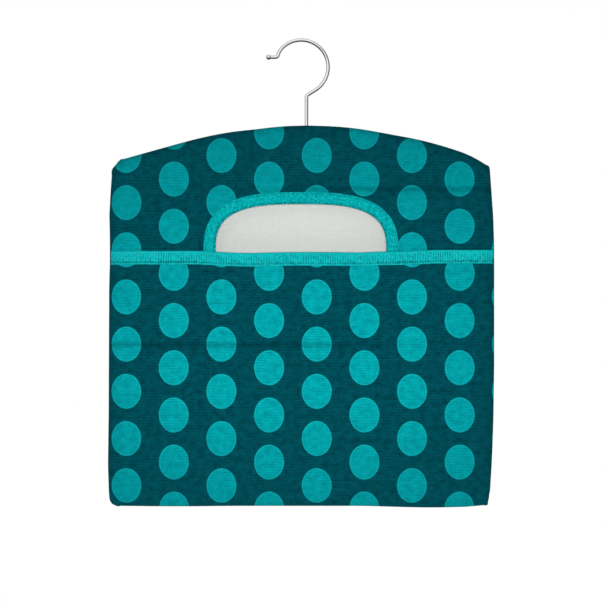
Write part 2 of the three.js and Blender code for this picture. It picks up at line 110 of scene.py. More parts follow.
# Shares of the bag's height down the side, and of its width in from the side
LEFT_EDGE_SHARES = [
    (0.091, 0.032), (0.106, 0.0165), (0.117, 0.0108), (0.169, 0.0071), (0.235, 0.0036),
    (0.3, 0.0049), (0.367, 0.0049), (0.432, 0.003), (0.761, 0.0017), (0.893, 0), (0.958, 0.002),
    (0.98, 0.0035), (0.989, 0.0056), (0.994, 0.0102), (0.998, 0.019), (1, 0.026),
]
RIGHT_EDGE_SHARES = [
    (0.111, 0.0135), (0.117, 0.0109), (0.169, 0.0073), (0.235, 0.0026), (0.314, 0), (0.63, 0),
    (0.761, 0.0018), (0.827, 0.0036), (0.893, 0.0066), (0.958, 0.0104), (0.995, 0.017), (1, 0.02),
]
# The cloth dips a little along the top: where, how far it reaches, and how deep it is
TOP_DIPS = [(-0.045, 0.018, 0.0007), (0.074, 0.023, 0.00085)]

# Bag depth, as the half gap inside the outer cloth
DEPTH_AT_BAR = 0.00775
DEPTH_AT_BELLY = 0.011
BELLY_DROP = 0.23
TOP_ROUND = 0.009
SHOULDER_ROUND = 0.009
SIDE_ROUND = 0.028
SIDE_ROUND_DROP = 0.11
BOTTOM_ROUND = 0.06

# Mouth, band, yoke and pocket
MOUTH_WIDTH = 0.1505
MOUTH_HEIGHT = 0.0422
MOUTH_SHIFT = -0.0049
MOUTH_CURVE_EXPONENT = 3
RIM = 0.0009
BAND_TOP_DROP = 0.112
YOKE_HEM_DROP = 0.13
POCKET_SETTLED_DROP = 0.146
BINDING_WIDTH = 0.0107
BINDING_BACK_WIDTH = 0.008
BAND_WIDTH = 0.012
BAND_BACK_WIDTH = 0.008

# Layers of the front, as offsets out from the gap inside the bag
LINING_OUT = -0.0001
YOKE_OUT = 0.0006
BACK_OUT = 0.0006
BINDING_BACK_MIDDLE = -0.0009
BINDING_FRONT_MIDDLE = 0.001
BAND_BACK_MIDDLE = 0.0017
POCKET_LINING_OUT = 0.0023
POCKET_OUT = 0.0029
BAND_FRONT_MIDDLE = 0.0033
CLOTH_THICKNESS = 0.00045
LINING_THICKNESS = 0.0003
TAPE_THICKNESS = 0.00055
SEWN_FLAT_SHARE = 0.3
SEWN_FLAT_REACH = 0.024

height_z = -math.sqrt((LOOP_RADIUS - WIRE_RADIUS) ** 2 - LOOP_OFFSET ** 2) - LOOP_TO_SEAM
loop_centre_z = height_z + LOOP_TO_SEAM
pocket_edge_drop = BAND_TOP_DROP + RIM
bar_end_drop = BAR_TOP_GAP + BAR_HEIGHT + BAR_HALF ** 2 / (2 * BAR_UNDER_RADIUS)


def mix(a, b, share):
    return a + (b - a) * share


def ease(start, end, value):
    share = np.clip((value - start) / (end - start), 0, 1)
    return share * share * (3 - 2 * share)


def quarter_round(share):
    return np.sqrt(1 - (1 - np.clip(share, 0, 1)) ** 2)


def bell(distance, reach):
    return np.exp(-((distance / reach) ** 2))


def unit(vectors):
    return vectors / np.linalg.norm(vectors, axis=-1, keepdims=True)


# How far along a line each of its points is
def run_along(x, z):
    return np.r_[0, np.cumsum(np.hypot(np.diff(x), np.diff(z)))]


# Smooth value noise from -1 to 1, one unit for each cell
def noise(u, v, seed, cells=64):
    table = np.random.default_rng(seed).uniform(-1, 1, (cells, cells))
    u, v = np.broadcast_arrays(np.asarray(u, float), np.asarray(v, float))
    low_u, low_v = np.floor(u).astype(int), np.floor(v).astype(int)
    part_u, part_v = ease(0, 1, u - low_u), ease(0, 1, v - low_v)
    corner = lambda du, dv: table[(low_u + du) % cells, (low_v + dv) % cells]
    top = mix(corner(0, 0), corner(1, 0), part_u)
    return mix(top, mix(corner(0, 1), corner(1, 1), part_u), part_v)


# Outline of the bag
def edge_inset(shares, drop):
    down, inward = zip(*shares)
    steps = np.linspace(-CORNER_SOFTNESS, CORNER_SOFTNESS, 7)
    found = [np.interp((drop + step) / BAG_HEIGHT, down, inward) for step in steps]
    return BAG_WIDTH * sum(found) / len(steps)


def left_edge(drop):
    return BAG_SHIFT - BAG_WIDTH / 2 + edge_inset(LEFT_EDGE_SHARES, drop)


def right_edge(drop):
    return BAG_SHIFT + BAG_WIDTH / 2 - edge_inset(RIGHT_EDGE_SHARES, drop)


def top_edge(x):
    slope = LOOSE_SHOULDER / BAR_TOP_RADIUS
    straight = slope * (LOOSE_SHOULDER / 2 - x - LOOSE_SHOULDER)
    drawn_in = np.maximum(0, x - TIGHT_SHOULDER) ** 2 / (2 * TIGHT_SHOULDER_RADIUS)
    dips = sum(deep * bell(x - at, reach) for at, reach, deep in TOP_DIPS)
    return np.where(x < -LOOSE_SHOULDER, straight, x ** 2 / (2 * BAR_TOP_RADIUS) + drawn_in) + dips


def bottom_edge(x):
    drop = BAG_HEIGHT - CORNER_LIFT * ease(*CORNER_LIFT_REACH, x)
    for at, reach, deep in HEM_SAGS:
        drop = drop + deep * (1 + np.cos(math.pi * np.clip(abs(x - at) / reach, 0, 1))) / 2
    return drop


def from_side(x, drop):
    return np.minimum(x - left_edge(drop), right_edge(drop) - x)


# Half the gap inside the outer cloth
def half_depth(x, drop):
    fullness = mix(DEPTH_AT_BAR, DEPTH_AT_BELLY, ease(bar_end_drop, BELLY_DROP, drop))
    round_here = mix(SHOULDER_ROUND, SIDE_ROUND, ease(bar_end_drop, SIDE_ROUND_DROP, drop))
    return (
        fullness
        * quarter_round(from_side(x, drop) / round_here)
        * quarter_round((bottom_edge(x) - drop) / BOTTOM_ROUND)
        * quarter_round((drop - top_edge(x)) / TOP_ROUND)
    )


# Mouth: points along the yoke's cut edge, from the left foot over to the right one
MOUTH_STEP = 0.0012
mouth_half = MOUTH_WIDTH / 2 + RIM
mouth_rise = MOUTH_HEIGHT + RIM


def mouth_edge():
    angle = math.pi * (1 - np.linspace(0, 1, 400))
    across = np.sign(np.cos(angle)) * abs(np.cos(angle)) ** (2 / MOUTH_CURVE_EXPONENT)
    up = abs(np.sin(angle)) ** (2 / MOUTH_CURVE_EXPONENT)
    x = np.r_[-mouth_half, mouth_half * across, mouth_half] + MOUTH_SHIFT
    drop = np.r_[YOKE_HEM_DROP, BAND_TOP_DROP - mouth_rise * up, YOKE_HEM_DROP]
    run = run_along(x, drop)
    even = np.linspace(0, run[-1], round(run[-1] / MOUTH_STEP) + 1)
    return np.interp(even, run, x), np.interp(even, run, drop)


mouth_x, mouth_drop = mouth_edge()
mouth_run = run_along(mouth_x, mouth_drop)


def mouth_distances(x, drop):
    return [np.hypot(x - edge_x, drop - edge_drop) for edge_x, edge_drop in zip(mouth_x, mouth_drop)]


# Distance from the yoke's cut edge: below zero inside the mouth
def from_mouth(x, drop):
    flat_x, flat_drop = np.ravel(x), np.ravel(drop)
    away = np.min(mouth_distances(flat_x, flat_drop), axis=0)
    across = np.clip(abs(flat_x - MOUTH_SHIFT) / mouth_half, 0, 1)
    arch = (1 - across ** MOUTH_CURVE_EXPONENT) ** (1 / MOUTH_CURVE_EXPONENT)
    inside = (across < 1) & (flat_drop > BAND_TOP_DROP - mouth_rise * arch)
    return np.where(inside, -away, away).reshape(np.shape(x))


# Wrinkles, all as distances out from the bag's own shape
PUCKER = 0.0003
PUCKER_PITCH = 0.0062
PUCKER_REACH = 0.0055
SWELL = 0.0011
SWELL_PITCH = 0.075
SWELL_STRETCH = 1.6
SMALL_SWELL = 0.4
SWELL_FROM_SEAM = 0.05
SWELL_FROM_BAR = 0.03
FLAT_BAR_SHARE = 0.7
# Creases across the front: how low each lies, and from where to where its depth changes
CREASES = [(0.0585, (-0.06, 0.06), (0.25, 1)), (0.1965, (-0.02, 0.1), (1, 0.3))]
CREASE_DEPTH = 0.0013
CREASE_REACH = 0.0032
CREASE_WAVER = 0.0012
CREASE_WAVER_PITCH = 0.05
CREASE_FROM_SEAM = 0.02
HEM_RIDGE = 0.0002
HEM_RIDGE_REACH = 0.0015


def puckers(along, away, seed):
    wave = noise(along / PUCKER_PITCH, away / (4 * PUCKER_REACH), seed)
    share = np.maximum(away, 0) / PUCKER_REACH
    return PUCKER * wave * share * np.exp(1 - share)


def creases(x, drop):
    waver = CREASE_WAVER * noise(x / CREASE_WAVER_PITCH, 0, 31)
    return -CREASE_DEPTH * sum(
        bell(drop - at - waver, CREASE_REACH) * mix(*depths, ease(*reach, x))
        for at, reach, depths in CREASES
    )


def wrinkles(side, x, drop):
    seed = 2 if side < 0 else 20
    from_left, from_right = x - left_edge(drop), right_edge(drop) - x
    from_top, from_hem = drop - top_edge(x), bottom_edge(x) - drop
    out = puckers(drop, from_left, seed) + puckers(drop, from_right, seed + 1)
    out = out + puckers(x, from_top, seed + 2) + puckers(x, from_hem, seed + 3)
    inner = np.minimum(np.minimum(from_left, from_right), np.minimum(from_top, from_hem))
    free = ease(0, SWELL_FROM_SEAM, inner)
    free = free * ease(0, SWELL_FROM_BAR, drop - bar_end_drop * FLAT_BAR_SHARE)
    small = SMALL_SWELL * noise(x / (SMALL_SWELL * SWELL_PITCH), drop / SWELL_PITCH, seed + 5)
    swell = noise(x / SWELL_PITCH, drop / (SWELL_STRETCH * SWELL_PITCH), seed + 4) + small
    out = out + SWELL * free * swell
    if side < 0:
        below_band = drop - pocket_edge_drop - BAND_WIDTH
        out = out + puckers(x, below_band, seed + 6) * (below_band > 0)
        out = out + creases(x, drop) * ease(0, CREASE_FROM_SEAM, inner)
        out = out + HEM_RIDGE * bell(drop - YOKE_HEM_DROP, HEM_RIDGE_REACH)
    return out


# Sag: outward moves on a grid for each side, which the simulation further down fills in
sag = {}


def between(grid, row, column):
    high_row, high_column = np.array(grid.shape) - 1
    row, column = np.clip(row, 0, 1) * high_row, np.clip(column, 0, 1) * high_column
    r = np.minimum(row.astype(int), high_row - 1)
    c = np.minimum(column.astype(int), high_column - 1)
    upper = mix(grid[r, c], grid[r, c + 1], column - c)
    return mix(upper, mix(grid[r + 1, c], grid[r + 1, c + 1], column - c), row - r)


def simulated_sag(side, x, drop):
    if side not in sag:
        return 0
    left, right, top, bottom = left_edge(drop), right_edge(drop), top_edge(x), bottom_edge(x)
    return between(sag[side], (drop - top) / (bottom - top), (x - left) / (right - left))


# Where a layer lies: its distance from the bag's middle plane. rise draws it in at a seam.
SHANK_ROOM = 0.0021
SHANK_ROOM_REACH = 0.0042
SHANK_ROOM_FADE = (0.008, 0.004)


def layer_out(side, x, drop, offset, rise=1):
    sewn = mix(SEWN_FLAT_SHARE, 1, ease(0, SEWN_FLAT_REACH, from_side(x, drop)))
    moved = wrinkles(side, x, drop) + simulated_sag(side, x, drop)
    out = TOUCH_GAP / 2 + rise * (half_depth(x, drop) + moved + offset * sewn)
    room = SHANK_ROOM * bell(x, SHANK_ROOM_REACH) * ease(*SHANK_ROOM_FADE, drop)
    return np.maximum(out, room)


# The pocket's layers rest on the binding's legs, and lie in closer where there are none.
NO_BINDING_SINK = 0.0008
BINDING_FADE = (0.014, 0.002)


def pocket_offset(x, drop, offset):
    over_binding = ease(*BINDING_FADE, abs(x - MOUTH_SHIFT) - mouth_half - BINDING_WIDTH)
    held = offset - NO_BINDING_SINK * (1 - over_binding)
    return mix(held, YOKE_OUT + offset - POCKET_OUT, ease(YOKE_HEM_DROP, POCKET_SETTLED_DROP, drop))


# The band runs up a little to the right. It hangs lower across the mouth, where nothing holds it.
BAND_LIFT = 0.0008
BAND_RISE = 0.0012
BAND_RISE_REACH = (-0.2, 0.17)
MOUTH_DROOP = 0.0018
DROOP_FROM_LEFT = (-0.108, -0.055)
DROOP_FROM_RIGHT = (0.135, 0.04)
BAND_WAVER = 0.0002
BAND_WAVER_PITCHES = (0.016, 0.045)
BAND_SHIFT_FADE = (0.13, 0.19)


def band_shift(x, drop):
    waver = sum(BAND_WAVER * noise(x / BAND_WAVER_PITCHES[n], 0, 40 + n) for n in (0, 1))
    droop = MOUTH_DROOP * ease(*DROOP_FROM_LEFT, x) * ease(*DROOP_FROM_RIGHT, x)
    rise = BAND_LIFT + BAND_RISE * ease(*BAND_RISE_REACH, x) - droop
    return -(rise + waver) * (1 - ease(*BAND_SHIFT_FADE, drop))


# Lines of a cloth grid: how far in from the edges they lie, and how far they are turned in there
TURNED_IN = [(0.0022, 0.02), (0.0009, 0.03), (0.00025, 0.12), (0, 0.5)]
# The linings end inside the seams, just short of the outer cloth's turned-in edges
LINING_TURNED_IN = [(0.0005, 0.12), (0, 0.5)]
LINING_INSET = 0.0026
CROSSING_ROUNDS = 10

Lines = namedtuple("Lines", "distance share rise")


def lines(whole, spacing, first_round, last_round, steps, sewn=(True, True), lining=False):
    turned = LINING_TURNED_IN if lining else TURNED_IN
    curve = 1 - np.cos(np.linspace(0, math.pi / 2, steps + 1))
    parts = [(inset, 0, rise) for inset, rise in turned if sewn[0]]
    parts += [(distance, 0, 1) for distance in (first_round * curve if first_round else [0])]
    count = round((whole - first_round - last_round) / spacing)
    parts += [(mix(first_round, -last_round, m / count), m / count, 1) for m in range(1, count)]
    parts += [(-distance, 1, 1) for distance in (last_round * curve[::-1] if last_round else [0])]
    parts += [(-inset, 1, rise) for inset, rise in reversed(turned) if sewn[1]]
    distance, share, rise = [np.array(part, float) for part in zip(*parts)]
    if lining:
        distance = distance + LINING_INSET * (1 - 2 * share)
    return Lines(distance, share, rise)


# Where the columns cross the rows, as x and drop. Each bends with the other, so they settle.
def crossings(columns, rows, top_of, bottom_of):
    drop = np.linspace(0, BAG_HEIGHT, len(rows.share))[:, None] * np.ones(len(columns.share))
    for _ in range(CROSSING_ROUNDS):
        left, right = left_edge(drop), right_edge(drop)
        x = left + columns.distance + columns.share * (right - left)
        top, bottom = top_of(x), bottom_of(x)
        drop = top + rows.distance[:, None] + rows.share[:, None] * (bottom - top)
    return x, drop


# Meshes
def linked(name, data):
    made = bpy.data.objects.new(name, data)
    bpy.context.scene.collection.objects.link(made)
    return made


def mesh_piece(name, points, faces, uv=None, relief=None):
    mesh = bpy.data.meshes.new(name)
    mesh.from_pydata(np.asarray(points).tolist(), [], [list(face) for face in faces])
    mesh.shade_smooth()
    if uv is not None:
        layer = mesh.uv_layers.new(name="cloth")
        corner = np.zeros(len(mesh.loops), int)
        mesh.loops.foreach_get("vertex_index", corner)
        layer.data.foreach_set("uv", np.asarray(uv, np.float32)[corner].ravel())
    if relief is not None:
        attribute = mesh.attributes.new("relief", "FLOAT", "POINT")
        attribute.data.foreach_set("value", np.asarray(relief, np.float32))
    return linked(name, mesh)


def grid_faces(tall, wide, wrapped=False, flipped=False):
    rows, columns = np.mgrid[0 : tall - 1, 0 : wide if wrapped else wide - 1]
    beside = (columns + 1) % wide
    a, b = rows * wide + columns, rows * wide + beside
    faces = np.stack([a, b, b + wide, a + wide], axis=-1).reshape(-1, 4)
    return faces[:, ::-1] if flipped else faces


# Faces of a tube of rings that is closed at both ends
def tube_faces(count, around, flipped=False):
    first = list(range(around))
    last = [(count - 1) * around + number for number in first]
    caps = [first, last[::-1]] if flipped else [first[::-1], last]
    return [*grid_faces(count, around, wrapped=True, flipped=flipped).tolist(), *caps]


# Rings of points round a line. side and up are two directions across it.
def rings(line, side, up, radius, sides):
    angle = np.linspace(0, FULL_TURN, sides, endpoint=False)[:, None]
    across = np.cos(angle) * side[..., None, :] + np.sin(angle) * up[..., None, :]
    return (line[:, None, :] + np.reshape(radius, (-1, 1, 1)) * across).reshape(-1, 3)


def cloth_points(side, x, drop, out):
    return np.stack([x, side * out, height_z - drop], axis=-1).reshape(-1, 3)


# Sag of the hanging cloth: a coarse skin of the whole bag, with a little more cloth than its seams
# take up, is let go until it settles. All the layers then share its bulges and hollows, but not
# the way in which the whole skin sinks together, because a little air and the bar keep it apart.
SAG_LINES = 64
SAG_FRAMES = 30
SPARE_CLOTH = 0.009
CLOTH_STIFFNESS = 2.0
FIRST_WAVE = 0.0012
FIRST_WAVE_SIZE = (0.07, 0.09)
SMALL_WAVE_SHARE = 0.5
SMALL_WAVE_SIZE = (0.03, 0.04)
SAG_INWARD = 0.0016
SAG_OUTWARD = 0.0005
SAG_SMOOTHING = 3
SAG_BROAD = 60
SAG_FREE_REACH = 0.04


def evened(grid, times):
    for _ in range(times):
        wide = np.pad(grid, 1, mode="edge")
        beside = wide[1:-1, :-2] + wide[1:-1, 2:] + wide[:-2, 1:-1] + wide[2:, 1:-1]
        grid = (grid + beside / 4) / 2
    return grid


def first_wave(side, x, drop):
    (width, length), (small_width, small_length) = FIRST_WAVE_SIZE, SMALL_WAVE_SIZE
    small = SMALL_WAVE_SHARE * noise(x / small_width, drop / small_length, 95 + side)
    return noise(x / width, drop / length, 90 + side) + small


def simulate_sag():
    share = np.linspace(0, 1, SAG_LINES)
    even = Lines(0 * share, share, 1 + 0 * share)
    x, drop = crossings(even, even, top_edge, bottom_edge)
    rim = np.ones(x.shape, bool)
    rim[1:-1, 1:-1] = False
    held = rim | (drop < bar_end_drop)
    nearest = np.minimum(from_side(x, drop), bottom_edge(x) - drop)
    free = ease(0, SAG_FREE_REACH, nearest) * ease(0, SAG_FREE_REACH, drop - bar_end_drop)
    depth = half_depth(x, drop)
    points = np.concatenate([
        cloth_points(side, x, drop, depth + FIRST_WAVE * free * first_wave(side, x, drop))
        for side in (-1, 1)
    ])
    front, back = np.arange(2 * x.size).reshape(2, *x.shape)
    back[rim] = front[rim]
    faces = np.concatenate([
        front.ravel()[grid_faces(*x.shape)],
        back.ravel()[grid_faces(*x.shape, flipped=True)],
    ])
    skin = mesh_piece("sag_skin", points, faces)
    group = skin.vertex_groups.new(name="held")
    group.add(np.flatnonzero(np.r_[held.ravel(), held.ravel()]).tolist(), 1.0, "REPLACE")
    cloth = skin.modifiers.new("cloth", "CLOTH")
    cloth.settings.vertex_group_mass = "held"
    cloth.settings.quality = 6
    cloth.settings.shrink_min = -SPARE_CLOTH
    cloth.settings.bending_stiffness = CLOTH_STIFFNESS
    cloth.collision_settings.use_collision = False
    cloth.point_cache.frame_start, cloth.point_cache.frame_end = 1, SAG_FRAMES
    for step in range(1, SAG_FRAMES + 1):
        bpy.context.scene.frame_set(step)
    settled = skin.evaluated_get(bpy.context.evaluated_depsgraph_get()).data
    place = np.zeros(3 * len(settled.vertices))
    settled.vertices.foreach_get("co", place)
    bpy.data.objects.remove(skin)
    bpy.context.scene.frame_set(1)
    for side, numbers in ((-1, front), (1, back)):
        moved = side * place[1::3][numbers] - depth
        folds = evened(moved, SAG_SMOOTHING) - evened(moved, SAG_BROAD)
        sag[side] = np.clip(folds * free, -SAG_INWARD, SAG_OUTWARD)


simulate_sag()


# Materials
class Nodes:
    """Nodes that are written as nested calls: each gives the socket it ends in."""

    def __init__(self, tree):
        self.tree = tree

    def feed(self, socket, value):
        if isinstance(value, bpy.types.NodeSocket):
            self.tree.links.new(value, socket)
        else:
            socket.default_value = value

    def node(self, kind, *values, output=0, settings=(), **inputs):
        node = self.tree.nodes.new("ShaderNode" + kind)
        for key, value in dict(settings).items():
            setattr(node, key, value)
        for socket, value in zip(node.inputs, values):
            self.feed(socket, value)
        for key, value in inputs.items():
            self.feed(node.inputs[key.replace("_", " ")], value)
        return node.outputs[output]

    def math(self, operation, *values):
        return self.node("Math", *values, settings={"operation": operation})

    def times(self, a, b, plus=0.0):
        return self.math("MULTIPLY_ADD", a, b, plus)

    # The colour sockets of a mix node come after those for numbers and vectors.
    def blend(self, share, low, high):
        node = self.tree.nodes.new("ShaderNodeMix")
        node.data_type = "RGBA"
        for number, value in ((0, share), (6, low), (7, high)):
            self.feed(node.inputs[number], value)
        return node.outputs[2]

    def band(self, value, low, high, to_low=0.0, to_high=1.0, smooth=True):
        settings = {"interpolation_type": "SMOOTHSTEP" if smooth else "LINEAR"}
        return self.node("MapRange", value, low, high, to_low, to_high, settings=settings)

    def parts(self, vector):
        node = self.tree.nodes.new("ShaderNodeSeparateXYZ")
        self.feed(node.inputs[0], vector)
        return tuple(node.outputs)

    def noise(self, u, v, length, width, seed=0.0, detail=2.0, w=0.0):
        u, v = self.math("DIVIDE", u, length), self.math("DIVIDE", v, width)
        spot = self.node("CombineXYZ", u, v, self.math("ADD", w, seed))
        return self.node("TexNoise", Vector=spot, Scale=1.0, Detail=detail)

    def bump(self, height, distance):
        return self.node("Bump", Height=height, Distance=distance, Strength=1.0)


class Shader(Nodes):
    def __init__(self, name):
        self.material = bpy.data.materials.new(name)
        self.material.use_nodes = True
        super().__init__(self.material.node_tree)

    def fabric(self):
        return self.parts(self.node("UVMap", settings={"uv_map": "cloth"}))[:2]

    def place(self):
        return self.parts(self.node("TexCoord", output=3))

    def finish(self, **inputs):
        surface = self.tree.nodes["Principled BSDF"]
        for key, value in inputs.items():
            self.feed(surface.inputs[key.replace("_", " ")], value)
        return self.material

    def grained(self, grain, rough, depth, **inputs):
        roughness = self.band(grain, 0.3, 0.7, *rough)
        return self.finish(Roughness=roughness, Normal=self.bump(grain, depth), **inputs)


THREAD_PITCH = 0.00048
WEFT_PITCH = 0.0023
WEFT_WAVER = 5.0
TEAL_SHINE = (0.05, 0.75, 0.8, 1)


# Plain weave, on top of a coarser unevenness
def woven(s, u, v, uneven, uneven_share, thread_share, depth):
    across, along = [s.math("SINE", s.times(part, FULL_TURN / THREAD_PITCH)) for part in (u, v)]
    threads = s.times(s.times(s.times(across, along), 0.5, 0.5), thread_share)
    return s.bump(s.times(uneven, uneven_share, threads), depth)


# Thicker weft threads that come back at an uneven pitch, as fine lines across the cloth
def weft_lines(s, u, v):
    waver = s.noise(u, v, 0.02, 0.006, 13.0, detail=1.0)
    phase = s.times(waver, WEFT_WAVER, s.times(v, FULL_TURN / WEFT_PITCH))
    strength = s.band(s.noise(u, v, 0.007, 0.005, 17.0), 0.35, 0.65, 0.15, 0.5)
    return s.times(s.math("SINE", phase), strength, 0.5)


# The cloth's uneven dye: soft blotches, short streaks of slubbed thread, and the weft lines
def cloth_tone(s, u, v):
    blotch = s.noise(u, v, 0.0065, 0.0055, 1.0)
    streak = s.noise(u, v, 0.0035, 0.001, 3.0)
    warp = s.noise(u, v, 0.0011, 0.004, 7.0)
    mixed = s.times(warp, 0.22, s.times(streak, 0.42, s.times(blotch, 0.6)))
    return s.band(s.times(weft_lines(s, u, v), 0.2, mixed), 0.54, 0.9, smooth=False)


COLUMN_PITCH = 0.042
ROW_PITCH = 0.0416
OVAL_HALF_WIDTH = 0.0132
OVAL_HALF_HEIGHT = 0.0154
PRINT_EDGE = 0.022
PRINT_RIM = 0.07


# Print: plain upright ovals, each column half a repeat lower than the last
def ovals(s, u, v):
    place = s.math("DIVIDE", u, COLUMN_PITCH)
    lower = s.times(s.math("FLOORED_MODULO", s.math("FLOOR", place), 2.0), 0.5)
    across = s.math("SUBTRACT", s.math("FRACT", place), 0.5)
    down = s.math("FRACT", s.math("ADD", s.math("DIVIDE", v, ROW_PITCH), lower))
    across = s.times(across, COLUMN_PITCH / OVAL_HALF_WIDTH)
    down = s.times(s.math("SUBTRACT", down, 0.5), ROW_PITCH / OVAL_HALF_HEIGHT)
    squares = s.times(across, across, s.times(down, down))
    ragged = s.times(s.noise(u, v, 0.0012, 0.0006, 5.0), 0.05, -0.025)
    radius = s.math("ADD", s.math("SQRT", squares), ragged)
    inside = s.band(radius, 1 + PRINT_EDGE, 1 - PRINT_EDGE)
    rim = s.times(inside, s.band(radius, 1 - PRINT_RIM - PRINT_EDGE, 1 - PRINT_RIM))
    return inside, rim


# Painted shade along the creases: where each lies, and from where to where its strength changes
CREASE_SHADES = [(-0.0505, (-0.048, 0.072), (0.2, 1.0)), (-0.1877, (-0.008, 0.112), (1.0, 0.3))]
FOLD_CORE = 0.0004
FOLD_EDGE = 0.0042
FOLD_SHADE = 0.32
FOLD_WAVER = 0.002


def painted_crease_shade(s, u, v):
    waver = s.times(s.noise(u, 0.0, 0.03, 1.0, 9.0), FOLD_WAVER, -FOLD_WAVER / 2)
    shade = 0.0
    for at, reach, strengths in CREASE_SHADES:
        away = s.math("ABSOLUTE", s.math("SUBTRACT", s.math("ADD", v, waver), at))
        line = s.times(s.band(away, FOLD_EDGE, FOLD_CORE), s.band(u, *reach, *strengths))
        shade = s.times(line, FOLD_SHADE, shade)
    return shade


# Painted shade: the print, and less so its ground, darken away from the middle of a panel towards its
# seams, as light falls off there.
PRINT_CENTRE = (0.012, -0.184)
PRINT_STRETCH = 0.6
PRINT_SHADE_REACH = (0.03, 0.21)
PRINT_SHADE_MOST = 0.52


def printed_cotton():
    s = Shader("printed_cotton")
    u, v = s.fabric()
    inside, rim = ovals(s, u, v)
    tone = cloth_tone(s, u, v)
    off_u, off_v = [s.math("SUBTRACT", part, at) for part, at in zip((u, v), PRINT_CENTRE)]
    off_u = s.times(off_u, PRINT_STRETCH)
    squares = s.times(off_u, off_u, s.times(off_v, off_v))
    # Painted shade towards the seams
    print_shade = s.band(s.math("SQRT", squares), *PRINT_SHADE_REACH, 0.0, PRINT_SHADE_MOST)
    ground = s.blend(tone, (0.0003, 0.04, 0.0535, 1), (0.0007, 0.09, 0.117, 1))
    ground = s.blend(s.times(print_shade, 0.5), ground, (0.0002, 0.038, 0.05, 1))
    motif = s.blend(tone, (0.0006, 0.26, 0.286, 1), (0.0014, 0.43, 0.468, 1))
    motif = s.blend(s.times(rim, 0.4), motif, (0.01, 0.46, 0.49, 1))
    motif = s.blend(print_shade, motif, (0.0008, 0.12, 0.14, 1))
    # The print's base colour carries painted shade: darker towards the seams and along the creases.
    cloth = s.blend(inside, ground, motif)
    return s.finish(
        Base_Color=s.blend(painted_crease_shade(s, u, v), cloth, (0.0, 0.012, 0.015, 1)),
        Roughness=s.band(tone, 0.0, 1.0, 0.95, 0.82),
        Normal=woven(s, u, v, tone, 0.8, 0.5, 0.0002),
        Specular_IOR_Level=0.02,
        Specular_Tint=TEAL_SHINE,
        Sheen_Weight=0.04,
        Sheen_Roughness=0.5,
        Sheen_Tint=(0.02, 0.75, 0.8, 1),
    )


LINING_WEFT = 0.0021
LINING_WARP = 0.0026
LINING_WAVER = 6.0


# Plain lining: a faint grid of thicker threads, of uneven strength
def lining_cotton():
    s = Shader("lining_cotton")
    u, v = s.fabric()
    waver = s.times(s.noise(u, v, 0.014, 0.014, 2.0), LINING_WAVER)
    weft = s.math("SINE", s.times(v, FULL_TURN / LINING_WEFT, waver))
    warp = s.math("SINE", s.times(u, FULL_TURN / LINING_WARP, waver))
    strength = s.band(s.noise(u, v, 0.018, 0.008, 6.0), 0.35, 0.65, 0.05, 0.6)
    grid = s.times(s.math("ADD", weft, warp), strength, 0.5)
    uneven = s.noise(u, v, 0.009, 0.0035, 4.0)
    tone = s.band(s.node("Mix", A=grid, B=uneven, Factor=0.6), 0.2, 0.8, smooth=False)
    return s.finish(
        Base_Color=s.blend(tone, (0.63, 0.64, 0.617, 1), (0.71, 0.72, 0.697, 1)),
        Roughness=s.band(tone, 0.0, 1.0, 0.95, 0.85),
        Normal=woven(s, u, v, tone, 0.6, 0.5, 0.0001),
        Specular_IOR_Level=0.15,
        Sheen_Weight=0.05,
        Sheen_Roughness=0.5,
    )


# Turquoise tape: its ribs and folds are in the mesh, which says how high each point stands.
def turquoise_tape(name, grain_size, relief_share, bright, flecks, fleck_size, fold, fleck_color):
    s = Shader(name)
    u, v = s.fabric()
    relief = s.node("Attribute", output=2, settings={"attribute_name": "relief"})
    grain = s.noise(u, v, *grain_size, 4.0, detail=3.0)
    # Painted highlight and shade: the relief lightens the colour on ridges, lips and puffs and darkens it
    # in the grooves.
    light = s.band(s.node("Mix", A=grain, B=relief, Factor=relief_share), 0.25, 0.75)
    color = s.blend(light, (0.0001, 0.19, 0.205, 1), bright)
    fleck = s.band(s.noise(u, v, fleck_size, 0.8 * fleck_size, 8.0, detail=1.0), 0.54, 0.7)
    color = s.blend(s.times(fleck, flecks), color, fleck_color)
    # Painted shade: where the relief is lowest, in the stitch grooves and round the inner fold, the
    # colour darkens by fold.
    return s.finish(
        Base_Color=s.blend(s.band(relief, 0.0, 0.22, fold, 0.0), color, (0.0, 0.03, 0.035, 1)),
        Roughness=s.band(grain, 0.3, 0.7, 0.9, 0.7),
        Normal=woven(s, u, v, grain, 1.0, 0.4, 0.0002),
        Specular_IOR_Level=0.04,
        Specular_Tint=TEAL_SHINE,
        Sheen_Weight=0.05,
        Sheen_Roughness=0.4,
        Sheen_Tint=(0.03, 0.85, 0.85, 1),
    )


def sewing_thread(name, dark, light):
    s = Shader(name)
    x, y, z = s.place()
    ply = s.noise(x, z, 0.0003, 0.0008, 2.0, w=y)
    color = s.blend(ply, dark, light)
    return s.grained(ply, (0.75, 0.55), 0.00008, Base_Color=color, Specular_IOR_Level=0.15)


def bright_wire():
    s = Shader("bright_wire")
    x, y, z = s.place()
    drawn = s.noise(x, z, 0.0016, 0.0016, 3.0, detail=4.0, w=y)
    spots = s.noise(x, z, 0.011, 0.011, 5.0, w=y)
    color = s.blend(spots, (0.68, 0.685, 0.68, 1), (0.78, 0.785, 0.78, 1))
    return s.grained(drawn, (0.1, 0.2), 0.00002, Base_Color=color, Metallic=1.0)


def satin_zinc():
    s = Shader("satin_zinc")
    x, y, z = s.place()
    brushed = s.noise(x, y, 0.0004, 0.004, 3.0, detail=3.0, w=z)
    color = s.blend(brushed, (0.36, 0.38, 0.39, 1), (0.5, 0.52, 0.53, 1))
    return s.grained(brushed, (0.3, 0.45), 0.00003, Base_Color=color, Metallic=1.0)


